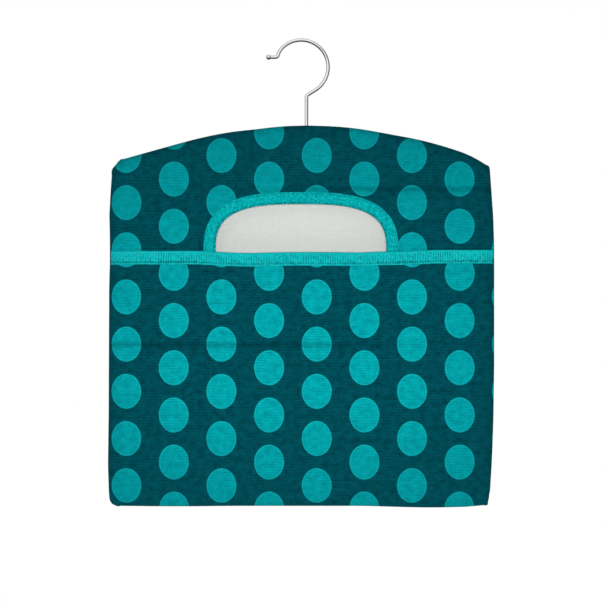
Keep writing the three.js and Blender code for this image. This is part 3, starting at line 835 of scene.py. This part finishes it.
def beech_wood():
    s = Shader("beech_wood")
    x, y, z = s.place()
    grain = s.noise(x, z, 0.06, 0.0016, 2.0, detail=4.0, w=s.times(y, 300.0))
    flecks = s.noise(x, z, 0.0045, 0.0006, 6.0, detail=1.0, w=s.times(y, 900.0))
    color = s.blend(grain, (0.42, 0.22, 0.095, 1), (0.66, 0.42, 0.21, 1))
    color = s.blend(s.times(s.band(flecks, 0.58, 0.68), 0.5), color, (0.3, 0.14, 0.055, 1))
    return s.grained(grain, (0.5, 0.65), 0.00012, Base_Color=color, Specular_IOR_Level=0.35)


def dress(piece, material, slot, body, *nodes):
    piece.data.materials.clear()
    piece.data.materials.append(material)
    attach(piece, body)
    if nodes:
        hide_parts(*nodes)
    return piece


# Hook: one wire whose radius grows into the ball at its tip and the head inside the bar
def arc(centre_x, centre_z, radius, start, end):
    steps = max(2, round(abs(end - start) * radius / WIRE_STEP))
    angle = np.linspace(start, end, steps + 1)
    return np.c_[centre_x + radius * np.cos(angle), centre_z + radius * np.sin(angle)]


def hook_line(head_z):
    crown_x = -LOOP_OFFSET
    crown_start, loop_end = math.radians(TIP_ARC_END_DEG), math.radians(LOOP_END_DEG)
    shrink = LOOP_RADIUS - TIP_ARC_RADIUS
    arc_x = crown_x + shrink * math.cos(crown_start)
    arc_z = loop_centre_z + shrink * math.sin(crown_start)
    tip_z = loop_centre_z + TIP_HEIGHT
    bend_z = tip_z + TIP_BEND_RADIUS
    reach = TIP_ARC_RADIUS + TIP_BEND_RADIUS
    arc_start = math.pi - math.asin((bend_z - arc_z) / reach)
    bend_x = arc_x + reach * math.cos(arc_start)
    crown = arc(crown_x, loop_centre_z, LOOP_RADIUS, crown_start, loop_end)
    leave_x, leave_z = crown[-1]
    turn = -loop_end
    shank_z = leave_z - leave_x / math.tan(turn) - SHANK_BEND_RADIUS * math.tan(turn / 2)
    return np.concatenate([
        [[bend_x - TIP_LENGTH - BALL_RADIUS, tip_z]],
        arc(bend_x, bend_z, TIP_BEND_RADIUS, -math.pi / 2, arc_start - math.pi),
        arc(arc_x, arc_z, TIP_ARC_RADIUS, arc_start, crown_start)[1:],
        crown[1:],
        arc(SHANK_BEND_RADIUS, shank_z, SHANK_BEND_RADIUS, math.pi - turn, math.pi),
        [[0, head_z - HEAD_THICKNESS]],
    ])


def hook_wire():
    washer_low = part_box("hook_washer")[0].z
    line = hook_line(washer_low - TOUCH_GAP)
    far = run_along(*line.T)
    length = far[-1]
    ball_end = BALL_RADIUS + math.sqrt(BALL_RADIUS ** 2 - WIRE_RADIUS ** 2)
    angles = np.linspace(0, math.pi - math.asin(WIRE_RADIUS / BALL_RADIUS), BALL_RINGS)
    stations = [(BALL_RADIUS * (1 - math.cos(a)), BALL_RADIUS * math.sin(a)) for a in angles]
    head_start = length - HEAD_THICKNESS
    count = round((head_start - ball_end) / WIRE_STEP)
    stations += [(mix(ball_end, head_start, step / count), WIRE_RADIUS) for step in range(1, count)]
    lip = HEAD_THICKNESS / 5
    stations += [(head_start, WIRE_RADIUS), (head_start, HEAD_RADIUS - lip)]
    stations += [(head_start + lip, HEAD_RADIUS), (length - lip, HEAD_RADIUS)]
    stations += [(length, HEAD_RADIUS - lip), (length, 0)]
    places, radii = np.array(stations).T

    def at(place):
        x, z = [np.interp(place, far, part) for part in line.T]
        return np.stack([x, 0 * x, z], axis=1)

    nudge = WIRE_STEP / 2
    run = unit(at(np.minimum(places + nudge, length)) - at(np.maximum(places - nudge, 0)))
    side = np.c_[-run[:, 2], run[:, 1], run[:, 0]]
    points = rings(at(places), side, np.array([0, 1, 0]), radii, WIRE_SIDES)
    piece = mesh_piece("hook_wire", points, grid_faces(len(places), WIRE_SIDES, wrapped=True))
    return dress(piece, bright_wire(), "hook_wire", "hook", "hook")


# Cloth panels
GRID_SPACING = 0.0022
LINING_SPACING = 0.004
ROUND_STEPS = 16
# Grid points this share of a cell from the mouth's edge move onto it
MOUTH_CATCH = 0.75


def level(drop):
    return lambda x: drop + 0 * x


# Each panel's side, height, rounds above and below with their steps, sewn edges, top and bottom
PANELS = {
    "yoke": (-1, YOKE_HEM_DROP, TOP_ROUND, 0, ROUND_STEPS // 2, (True, False),
             top_edge, level(YOKE_HEM_DROP)),
    "pocket": (-1, BAG_HEIGHT - pocket_edge_drop, 0, BOTTOM_ROUND, ROUND_STEPS, (False, True),
               level(pocket_edge_drop), bottom_edge),
    "back": (1, BAG_HEIGHT, TOP_ROUND, BOTTOM_ROUND, ROUND_STEPS, (True, True),
             top_edge, bottom_edge),
}


# Moves the grid points next to the mouth onto its edge, and says which points are cloth.
def cut_mouth(x, drop, cell):
    gap = from_mouth(x, drop)
    near = abs(gap) < MOUTH_CATCH * cell
    nearest = np.argmin(mouth_distances(x[near], drop[near]), axis=0)
    x[near], drop[near] = mouth_x[nearest], mouth_drop[nearest]
    return (near | (gap > 0)).ravel()


# The print and the weave run on over a panel, and each panel is cut from its own place in them.
def cloth_piece(part, lining, offset, shift):
    side, height, first_round, last_round, steps, sewn, top_of, bottom_of = PANELS[part]
    spacing = LINING_SPACING if lining else GRID_SPACING
    columns = lines(BAG_WIDTH, spacing, SIDE_ROUND, SIDE_ROUND, ROUND_STEPS, lining=lining)
    rows = lines(height, spacing, first_round, last_round, steps, sewn, lining)
    x, drop = crossings(columns, rows, top_of, bottom_of)
    faces = grid_faces(*x.shape, flipped=side < 0)
    if part == "yoke":
        faces = faces[cut_mouth(x, drop, spacing)[faces].all(axis=1)]
    if part == "pocket":
        drop = drop + band_shift(x, drop)
        offset = pocket_offset(x, drop, offset)
    out = layer_out(side, x, drop, offset, rows.rise[:, None] * columns.rise)
    uv = np.stack([shift[0] - side * x, shift[1] - drop], axis=-1).reshape(-1, 2)
    used, faces = np.unique(faces, return_inverse=True)
    points = cloth_points(side, x, drop, out)[used]
    name = part + ("_lining_cloth" if lining else "_cloth")
    piece = mesh_piece(name, points, faces.reshape(-1, 4), uv[used])
    modifier = piece.modifiers.new("thickness", "SOLIDIFY")
    modifier.thickness = LINING_THICKNESS if lining else CLOTH_THICKNESS
    modifier.offset = -1
    return piece


# Tapes folded over an edge. Their section is a list of (distance from the edge, offset).
TAPE_STEP = 0.0007
STITCH_GROOVE = 0.00008
STITCH_GROOVE_REACH = 0.0007
RELIEF_RANGE = 0.0004
FOLD_PUFF = 0.00014
PUFF_RELIEF_SHARE = 0.3


def tape_section(width, back_width, front_middle, back_middle, stitch_at, lip_rise, painted_fold_light,
                 fold_reach):
    half = TAPE_THICKNESS / 2
    middle, bend = (front_middle + back_middle) / 2, (front_middle - back_middle) / 2
    bend_at = -RIM + bend + half

    def bent(at, middle, radius, angles):
        return [(at - radius * math.cos(angle), middle + radius * math.sin(angle)) for angle in angles]

    front_end, back_end = width - RIM, back_width - RIM
    front = np.linspace(bend_at, front_end - half, round((front_end - bend_at) / TAPE_STEP))
    puff = FOLD_PUFF * np.sin(math.pi * np.clip((front - bend_at) / (stitch_at - bend_at), 0, 1))
    groove = -STITCH_GROOVE * bell(front - stitch_at, STITCH_GROOVE_REACH)
    lip = lip_rise * ease(stitch_at, stitch_at + STITCH_GROOVE_REACH, front)
    # Painted light at the inner fold: it goes only into the relief that colours the tape, not into its
    # shape.
    fold = painted_fold_light * ease(fold_reach, 0, front)
    outer = [(a, front_middle + half + h) for a, h in zip(front, puff + groove + lip)]
    end = np.linspace(math.pi / 3, -math.pi / 2, 4)
    outer += bent(front_end - half, front_middle, -half, -end)
    inner = bent(bend_at, middle, bend - half, np.linspace(math.pi / 2, -math.pi / 2, 5))
    inner += [(back_end - half, back_middle + half), (back_end, back_middle),
              (back_end - half, back_middle - half), (bend_at, back_middle - half)]
    turn = np.linspace(-math.pi / 2, math.pi / 2, 9)[1:-1]
    heights = [*(PUFF_RELIEF_SHARE * puff + groove + lip + fold), *(lip_rise for _ in end)]
    heights += [0] * len(inner) + list(painted_fold_light * np.maximum(0, np.sin(turn)))
    section = outer + inner + bent(bend_at, middle, bend + half, turn)
    return np.array(section), np.array(heights)


def tape_piece(name, spine, section, heights, place, ribs):
    shape = (len(spine), len(section))
    along = np.broadcast_to(spine[:, None], shape)
    away, offset = [np.broadcast_to(part, shape) for part in section.T]
    rib = ribs(along, away) * (offset > np.mean(section[:, 1]))
    points = place(along, away, offset + rib)
    uv = np.stack([along, away + offset], axis=-1).reshape(-1, 2)
    # This relief, ribs and grooves included, paints highlight and shade into the tape's colour.
    relief = np.clip(0.5 + (rib + heights) / RELIEF_RANGE, 0, 1)
    return mesh_piece(name, points, tube_faces(*shape, flipped=True), uv, relief.ravel())


BINDING_STEP = 0.0008
BINDING_STITCH_AT = 0.0087
BAND_STITCH_AT = 0.0091
CREPE_HEIGHT = 0.00009
CREPE_LENGTH = 0.0013
CREPE_WIDTH = 0.0011


# Points of the binding, by how far along the mouth's edge they are, and how far out from it
def binding_points(along, away, offset):
    def at(run):
        return np.array([np.interp(run, mouth_run, part) for part in (mouth_x, mouth_drop)])

    nudge = 2 * MOUTH_STEP
    run_x, run_drop = at(along + nudge) - at(along - nudge)
    size = np.hypot(run_x, run_drop)
    x, drop = at(along)
    x, drop = x + run_drop / size * away, drop - run_x / size * away
    return cloth_points(-1, x, drop, layer_out(-1, x, drop, offset))


def crepe(along, away):
    return CREPE_HEIGHT * noise(along / CREPE_LENGTH, away / CREPE_WIDTH, 50)


def mouth_binding():
    # The binding's inner fold is painted darker: painted shade.
    section, heights = tape_section(
        BINDING_WIDTH, BINDING_BACK_WIDTH, BINDING_FRONT_MIDDLE, BINDING_BACK_MIDDLE,
        BINDING_STITCH_AT, lip_rise=0.00012, painted_fold_light=-0.00014, fold_reach=0.002,
    )
    spine = np.linspace(0, mouth_run[-1], round(mouth_run[-1] / BINDING_STEP))
    return tape_piece("mouth_binding_tape", spine, section, heights, binding_points, crepe)


# Points of the band, which turns in at both side seams
def band_points(along, away, offset):
    drop = pocket_edge_drop + away
    drop = drop + band_shift(along, drop)
    out = layer_out(-1, along, drop, pocket_offset(along, drop, offset))
    return cloth_points(-1, along, drop, out)


RIB_PITCH = 0.0022
RIB_HEIGHT = 0.0002
RIB_SHARES = (0.1, 0.7)
# The ribs are lower at the left end and below the stitches, and fade out over the fold
RIBS_AT_LEFT = 0.2
RIBS_LEFT_FADE = (0.004, 0.03)
RIBS_FOLD_FADE = (-0.0004, 0.0016)
RIBS_BELOW_STITCHES = 0.6
BAND_END = 0.0011
BAND_END_STEPS = 90
# The stitches draw the band in deeper beside the mouth, where the yoke lies behind it
SIDE_GROOVE = 0.00007
SIDE_GROOVE_FADE = 0.012

band_middle_drop = BAND_TOP_DROP + BAND_WIDTH / 2


# Ribs across the band: of nearly even pitch, but broken up and of uneven height
def band_ribs(along, away):
    phase = along / RIB_PITCH + 0.35 * noise(along / 0.014, 0, 60) + 0.15 * noise(away / 0.003, 0, 61)
    height = mix(*RIB_SHARES, 0.5 + 0.5 * noise(along / 0.008, away / 0.0025, 62))
    grain = 0.28 * noise(along / 0.003, away / 0.0022, 64)
    grain = grain + 0.35 * noise(along / 0.0016, away / 0.002, 65)
    fade = mix(RIBS_AT_LEFT, 1, ease(*RIBS_LEFT_FADE, along - left_edge(BAND_TOP_DROP)))
    below = ease(BAND_STITCH_AT, BAND_STITCH_AT + STITCH_GROOVE_REACH, away)
    fade = fade * ease(*RIBS_FOLD_FADE, away) * mix(1, RIBS_BELOW_STITCHES, below)
    beside_mouth = ease(0, SIDE_GROOVE_FADE, abs(along - MOUTH_SHIFT) - mouth_half)
    drawn_in = SIDE_GROOVE * beside_mouth * bell(away - BAND_STITCH_AT, STITCH_GROOVE_REACH)
    return RIB_HEIGHT * fade * (height * np.sin(FULL_TURN * phase) + grain) - drawn_in


def pocket_band():
    # The band's top edge is painted lighter, as if lit from above: painted highlight.
    section, heights = tape_section(
        BAND_WIDTH, BAND_BACK_WIDTH, BAND_FRONT_MIDDLE, BAND_BACK_MIDDLE,
        BAND_STITCH_AT, lip_rise=0.00006, painted_fold_light=0.00007, fold_reach=0.0035,
    )
    left, right = left_edge(band_middle_drop) + BAND_END, right_edge(band_middle_drop) - BAND_END
    turn = SIDE_ROUND * (1 - np.cos(np.linspace(0, math.pi / 2, BAND_END_STEPS)))
    middle = np.arange(left + SIDE_ROUND, right - SIDE_ROUND, RIB_PITCH / 8)
    spine = np.r_[left + turn[:-1], middle, right - turn[::-1]]
    return tape_piece("pocket_band_tape", spine, section, heights, band_points, band_ribs)


# Stitches: short lengths of thread that dip into the cloth at both ends
STITCH_PITCH = 0.0031
STITCH_LENGTH = 0.0022
STITCH_RADIUS = 0.00026
STITCH_RINGS = 7
STITCH_SIDES = 6
STITCH_LIFT = 0.6
STITCH_DIP = 1.4
BAND_STITCH_END = 0.003


def stitch_row(name, start, end, place, stitch_at, front_middle):
    share = np.linspace(0, 1, STITCH_RINGS)
    radius = STITCH_RADIUS * np.sqrt(np.clip(1 - (2 * share - 1) ** 4, 0.02, 1))
    lift = STITCH_RADIUS * (STITCH_LIFT - STITCH_DIP * (2 * share - 1) ** 2)
    top = front_middle + TAPE_THICKNESS / 2 - STITCH_GROOVE
    outward = np.array([0, -1, 0])
    one = tube_faces(STITCH_RINGS, STITCH_SIDES)
    points, faces = [], []
    for number in range(int((end - start) / STITCH_PITCH)):
        along = start + (number + 0.5) * STITCH_PITCH + (share - 0.5) * STITCH_LENGTH
        middle = place(along, stitch_at + 0 * along, top + lift)
        sideways = np.cross(unit(middle[-1] - middle[0]), outward)
        points.append(rings(middle, sideways, outward, radius, STITCH_SIDES))
        base = number * STITCH_RINGS * STITCH_SIDES
        faces += [[base + corner for corner in face] for face in one]
    return mesh_piece(name, np.concatenate(points), faces)


def binding_stitches():
    hidden = YOKE_HEM_DROP - BAND_TOP_DROP - RIM
    return stitch_row("binding_stitches", hidden, mouth_run[-1] - hidden, binding_points,
                      BINDING_STITCH_AT, BINDING_FRONT_MIDDLE)


def band_stitches():
    left = left_edge(band_middle_drop) + BAND_STITCH_END
    right = right_edge(band_middle_drop) - BAND_STITCH_END
    return stitch_row("band_stitches", left, right, band_points, BAND_STITCH_AT, BAND_FRONT_MIDDLE)


# Seam allowances inside the bag: a strip of turned-in layers with thread looped over its edge
SEAM_WIDTH = 0.0084
SEAM_HALF_THICKNESS = 0.0004
SEAM_INSET = 0.0006
SEAM_STEP = 0.003
SEAM_WAVE = 0.00025
SEAM_WAVE_PITCH = 0.007
LOOP_PITCH = 0.0018
LOOP_STEPS = 10
LOOP_DEPTH = 0.0042
LOOP_ENDS = (0.002, 0.998)
LOOP_THREAD_RADIUS = 0.00014
LOOP_THREAD_SIDES = 5


def seam_wave(share, length):
    return SEAM_WAVE * noise(share * length / SEAM_WAVE_PITCH, 0, 70)


def seam_strip(name, place, length, width):
    count = max(8, round(length / SEAM_STEP))
    across = np.array([0, 0.04, 0.3, 0.6, 0.94, 1.0])
    thick = SEAM_HALF_THICKNESS * np.array([0.4, 1, 1, 1, 1, 0.5])
    section = [*zip(across, -thick), *zip(across[::-1], thick[::-1])]
    points, uv = [], []
    for share in np.linspace(0, 1, count):
        outer, inner = place(share)
        wave = float(seam_wave(share, length))
        for a, out in section:
            x, drop = mix(outer[0], inner[0], a), mix(outer[1], inner[1], a)
            points.append((x, out + wave * a, height_z - drop))
            uv.append((length * share, width * a))
    return mesh_piece(name, points, tube_faces(count, len(section)), uv)


def overlock(name, place, length, width):
    turns = int(length / LOOP_PITCH)
    share = np.linspace(*LOOP_ENDS, turns * LOOP_STEPS)
    angle = share * turns * FULL_TURN
    reach = 1 - (LOOP_DEPTH / width) * (0.5 + 0.5 * np.cos(angle))
    outer, inner = np.array([place(value) for value in share]).transpose(1, 2, 0)
    x, drop = mix(outer, inner, reach)
    wave = seam_wave(share, length) * reach
    y = (SEAM_HALF_THICKNESS + LOOP_THREAD_RADIUS) * np.sin(angle) + wave
    line = np.stack([x, y, height_z - drop], axis=1)
    run = unit(np.gradient(line, axis=0))
    side = unit(np.cross(run, [0.13, 0.97, 0.21]))
    points = rings(line, side, np.cross(run, side), LOOP_THREAD_RADIUS, LOOP_THREAD_SIDES)
    return mesh_piece(name, points, grid_faces(len(line), LOOP_THREAD_SIDES, wrapped=True))


# Where each seam runs: its outer and inner edge at a share of its length, as x and drop
SIDE_SEAM_START = 0.07
SIDE_SEAM_END = BAG_HEIGHT - 0.012
BOTTOM_SEAM_END = 0.014
TOP_SEAM_WIDTH = 0.0024
TOP_SEAM_START = 0.004
TOP_SEAM_END = 0.022


def side_seam_place(edge, inward):
    def place(share):
        drop = mix(SIDE_SEAM_START, SIDE_SEAM_END, share)
        outer = float(edge(drop)) + inward * SEAM_INSET
        return (outer, drop), (outer + inward * SEAM_WIDTH, drop)

    return place


def bottom_seam_place(share):
    left, right = float(left_edge(BAG_HEIGHT)), float(right_edge(BAG_HEIGHT))
    x = mix(left + BOTTOM_SEAM_END, right - BOTTOM_SEAM_END, share)
    outer = float(bottom_edge(x)) - SEAM_INSET
    return (x, outer), (x, outer - SEAM_WIDTH)


def top_seam_end(edge, direction):
    return float(edge(BAND_TOP_DROP / 2)) - direction * TOP_SEAM_END


def top_seam_place(edge, direction):
    def place(share):
        x = mix(direction * TOP_SEAM_START, top_seam_end(edge, direction), share)
        outer = float(top_edge(x)) + SEAM_INSET
        return (x, outer), (x, outer + TOP_SEAM_WIDTH)

    return place


# Round a top corner, past the bar's end, a narrow strip closes the gap between the other two.
CORNER_SEAM_WIDTH = 0.0012
CORNER_SEAM_LENGTH = 0.056
CORNER_SEAM_POINTS = 16
CORNER_FACES_X = 0.125
CORNER_FACES_DROP = 0.085


def corner_seam_place(edge, direction):
    corner_x = float(edge(0))
    x = np.linspace(top_seam_end(edge, direction), corner_x, CORNER_SEAM_POINTS)
    drop = np.linspace(float(top_edge(corner_x)), SIDE_SEAM_START, CORNER_SEAM_POINTS)
    line = np.concatenate([np.c_[x, top_edge(x)], np.c_[edge(drop), drop]])
    inward = unit(np.array([direction * CORNER_FACES_X, CORNER_FACES_DROP]) - line)
    run = run_along(*line.T)
    run /= run[-1]

    def place(share):
        return [
            [float(np.interp(share, run, part)) for part in (line + reach * inward).T]
            for reach in (SEAM_INSET, SEAM_INSET + CORNER_SEAM_WIDTH)
        ]

    return place


# Floor, light and camera. The camera stands straight in front, and its frame is measured where
# the hook and the seams are.
FLOOR_HALF = 1.1
FLOOR_GAP = 0.3
LAMPS_AIM = Vector((0, 0, -0.25))
FRAME_WIDTH = 0.5328
FRAME_CENTRE = (-0.00487, -0.2288)
CAMERA_DISTANCE = 2.6
SENSOR_WIDTH = 36


def studio():
    floor_z = cad_box[0].z - FLOOR_GAP
    corners = [(FLOOR_HALF * x, FLOOR_HALF * y, floor_z) for x, y in ((-1, -1), (1, -1), (1, 1), (-1, 1))]
    floor = mesh_piece("floor", corners, [(0, 1, 2, 3)])
    s = Shader("pale_floor")
    x, y, _ = s.place()
    tone = s.blend(s.noise(x, y, 0.2, 0.2, 1.0), (0.86, 0.86, 0.86, 1), (0.9, 0.9, 0.9, 1))
    floor.data.materials.append(s.finish(Base_Color=tone, Roughness=0.9, Specular_IOR_Level=0.1))
    floor.visible_glossy = False
    floor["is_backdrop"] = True


def soft_lamp(name, place, size, power):
    light = bpy.data.lights.new(name, "AREA")
    light.size = size
    light.energy = power
    lamp = linked(name, light)
    lamp.visible_camera = False
    lamp.visible_glossy = False
    lamp.location = place
    lamp.rotation_euler = (LAMPS_AIM - Vector(place)).to_track_quat("-Z", "Y").to_euler()


# World: white to the eye. The light on the object is even, and a little stronger from above.
# What the metal reflects is bright ahead, above and behind, and dark to the right and below.
def surroundings():
    world = bpy.data.worlds.new("studio")
    bpy.context.scene.world = world
    world.use_nodes = True
    world.node_tree.nodes.clear()
    w = Nodes(world.node_tree)
    place = w.node("TexCoord")

    def towards(direction, *span):
        facing = w.node("VectorMath", place, Vector(direction).normalized(), output="Value",
                        settings={"operation": "DOT_PRODUCT"})
        return w.band(facing, *span)

    ahead = towards((0, -1, 0), -0.15, 0.45, 0.0, 1.15)
    below = towards((-0.15, 0, -1), 0.08, 0.45, 1.0, 0.06)
    beside = towards((1, 0, 0.17), 0.3, 0.65, 1.0, 0.24)
    behind = towards((0, 1, 0), -0.2, 0.4, 0.0, 0.32)
    above = towards((0, 0, 1), 0.35, 0.9, 0.0, 0.75)
    backdrop = towards((0, 1, 0), 0.97, 1.0, 0.0, 0.8)
    reflected = w.times(ahead, w.math("MINIMUM", below, beside))
    for brighter in (above, behind, backdrop):
        reflected = w.math("MAXIMUM", reflected, brighter)
    lit = towards((0, 0, 1), -1.0, 1.0, 0.12, 0.34)
    glossy, seen, through = [
        w.node("LightPath", output="Is %s Ray" % kind) for kind in ("Glossy", "Camera", "Transmission")
    ]
    strength = w.node("Mix", Factor=glossy, A=lit, B=reflected)
    strength = w.node("Mix", Factor=w.math("MAXIMUM", seen, through), A=strength, B=1.0)
    background = w.node("Background", Color=(1, 1, 1, 1), Strength=strength)
    w.feed(w.tree.nodes.new("ShaderNodeOutputWorld").inputs["Surface"], background)


def camera():
    data = bpy.data.cameras.new("camera")
    data.sensor_width = SENSOR_WIDTH
    data.lens = SENSOR_WIDTH * CAMERA_DISTANCE / FRAME_WIDTH
    seen = linked("camera", data)
    seen.location = (FRAME_CENTRE[0], -CAMERA_DISTANCE, FRAME_CENTRE[1])
    seen.rotation_euler = (math.pi / 2, 0, 0)
    bpy.context.scene.camera = seen


camera()
surroundings()
studio()
for name, place, size, power in (
    ("front", (0.0, -2.5, -0.2), 0.25, 47),
    ("upper_left", (-0.7, -1.6, 0.5), 0.5, 1.5),
    ("behind", (-0.5, 2.4, 0.6), 1.4, 40),
):
    soft_lamp(name, place, size, power)

print_cloth = printed_cotton()
lining_cloth = lining_cotton()
# The band's flecks are partly the tape's own speckle and partly painted glints on its ribs: painted
# highlight.
band_cloth = turquoise_tape(
    "ribbed_tape", grain_size=(0.0012, 0.0022), relief_share=0.55, bright=(0.004, 0.5, 0.51, 1),
    flecks=0.4, fleck_size=0.0013, fold=0.75, fleck_color=(0.06, 0.6, 0.6, 1),
)
binding_cloth = turquoise_tape(
    "crepe_tape", grain_size=(0.0022, 0.0017), relief_share=0.25, bright=(0.0018, 0.46, 0.47, 1),
    flecks=0.6, fleck_size=0.002, fold=0.45, fleck_color=(0.016, 0.6, 0.6, 1),
)
band_thread_look = sewing_thread("band_thread", (0.0012, 0.17, 0.182, 1), (0.004, 0.3, 0.31, 1))
binding_thread_look = sewing_thread(
    "binding_thread", (0.0015, 0.3, 0.312, 1), (0.005, 0.43, 0.44, 1)
)
teal_thread = sewing_thread("teal_thread", (0.001, 0.09, 0.11, 1), (0.006, 0.2, 0.22, 1))

hook_wire()
for name, material in (("hook_washer", satin_zinc()), ("hanger_bar", beech_wood())):
    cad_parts[name].data.materials.clear()
    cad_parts[name].data.materials.append(material)

for part, lining, offset, shift, flat, area in (
    ("yoke", False, YOKE_OUT, (0.012, 0.006), (0.361, 0.14), 0.035),
    ("pocket", False, POCKET_OUT, (0.012, 0.006), (0.357, 0.236), 0.082),
    ("back", False, BACK_OUT, (0.03, 0.02), (0.361, 0.354), 0.119),
    ("yoke", True, LINING_OUT, (0, 0), (0.352, 0.133), 0.0323),
    ("pocket", True, POCKET_LINING_OUT, (0.1, 0), (0.348, 0.229), 0.077),
    ("back", True, LINING_OUT, (0.2, 0), (0.352, 0.345), 0.1128),
):
    piece = cloth_piece(part, lining, offset, shift)
    if lining:
        dress(piece, lining_cloth, "lining_cotton", "bag", part + "_lining")
    else:
        dress(piece, print_cloth, "printed_cotton", "bag", part + "_panel")

binding = dress(mouth_binding(), binding_cloth, "turquoise_tape", "bag", "mouth_binding")
binding_thread = dress(binding_stitches(), binding_thread_look, "turquoise_tape", "bag")
band = dress(pocket_band(), band_cloth, "turquoise_tape", "bag", "pocket_band")
band_thread = dress(band_stitches(), band_thread_look, "turquoise_tape", "bag")

for name, place, length, width in (
    ("left_side_seam", side_seam_place(left_edge, 1), 0.2545, SEAM_WIDTH),
    ("right_side_seam", side_seam_place(right_edge, -1), 0.2545, SEAM_WIDTH),
    ("bottom_seam", bottom_seam_place, 0.31, SEAM_WIDTH),
    ("top_seam_left", top_seam_place(left_edge, -1), 0.145, TOP_SEAM_WIDTH),
    ("top_seam_right", top_seam_place(right_edge, 1), 0.145, TOP_SEAM_WIDTH),
):
    strip = seam_strip(name + "_cloth", place, length, width)
    dress(strip, print_cloth, "overlock_thread", "bag", name)
    if width > LOOP_DEPTH:
        dress(overlock(name + "_loops", place, length, width), teal_thread, "overlock_thread", "bag")

for name, edge, direction in (("left", left_edge, -1), ("right", right_edge, 1)):
    place = corner_seam_place(edge, direction)
    strip = seam_strip(name + "_corner_seam_cloth", place, CORNER_SEAM_LENGTH, CORNER_SEAM_WIDTH)
    dress(strip, print_cloth, "overlock_thread", "bag")

bpy.context.scene.view_settings.view_transform = "Standard"
boxes = {"cad": cad_box, "visual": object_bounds()}
{key: [list(corner) for corner in box] for key, box in boxes.items()}
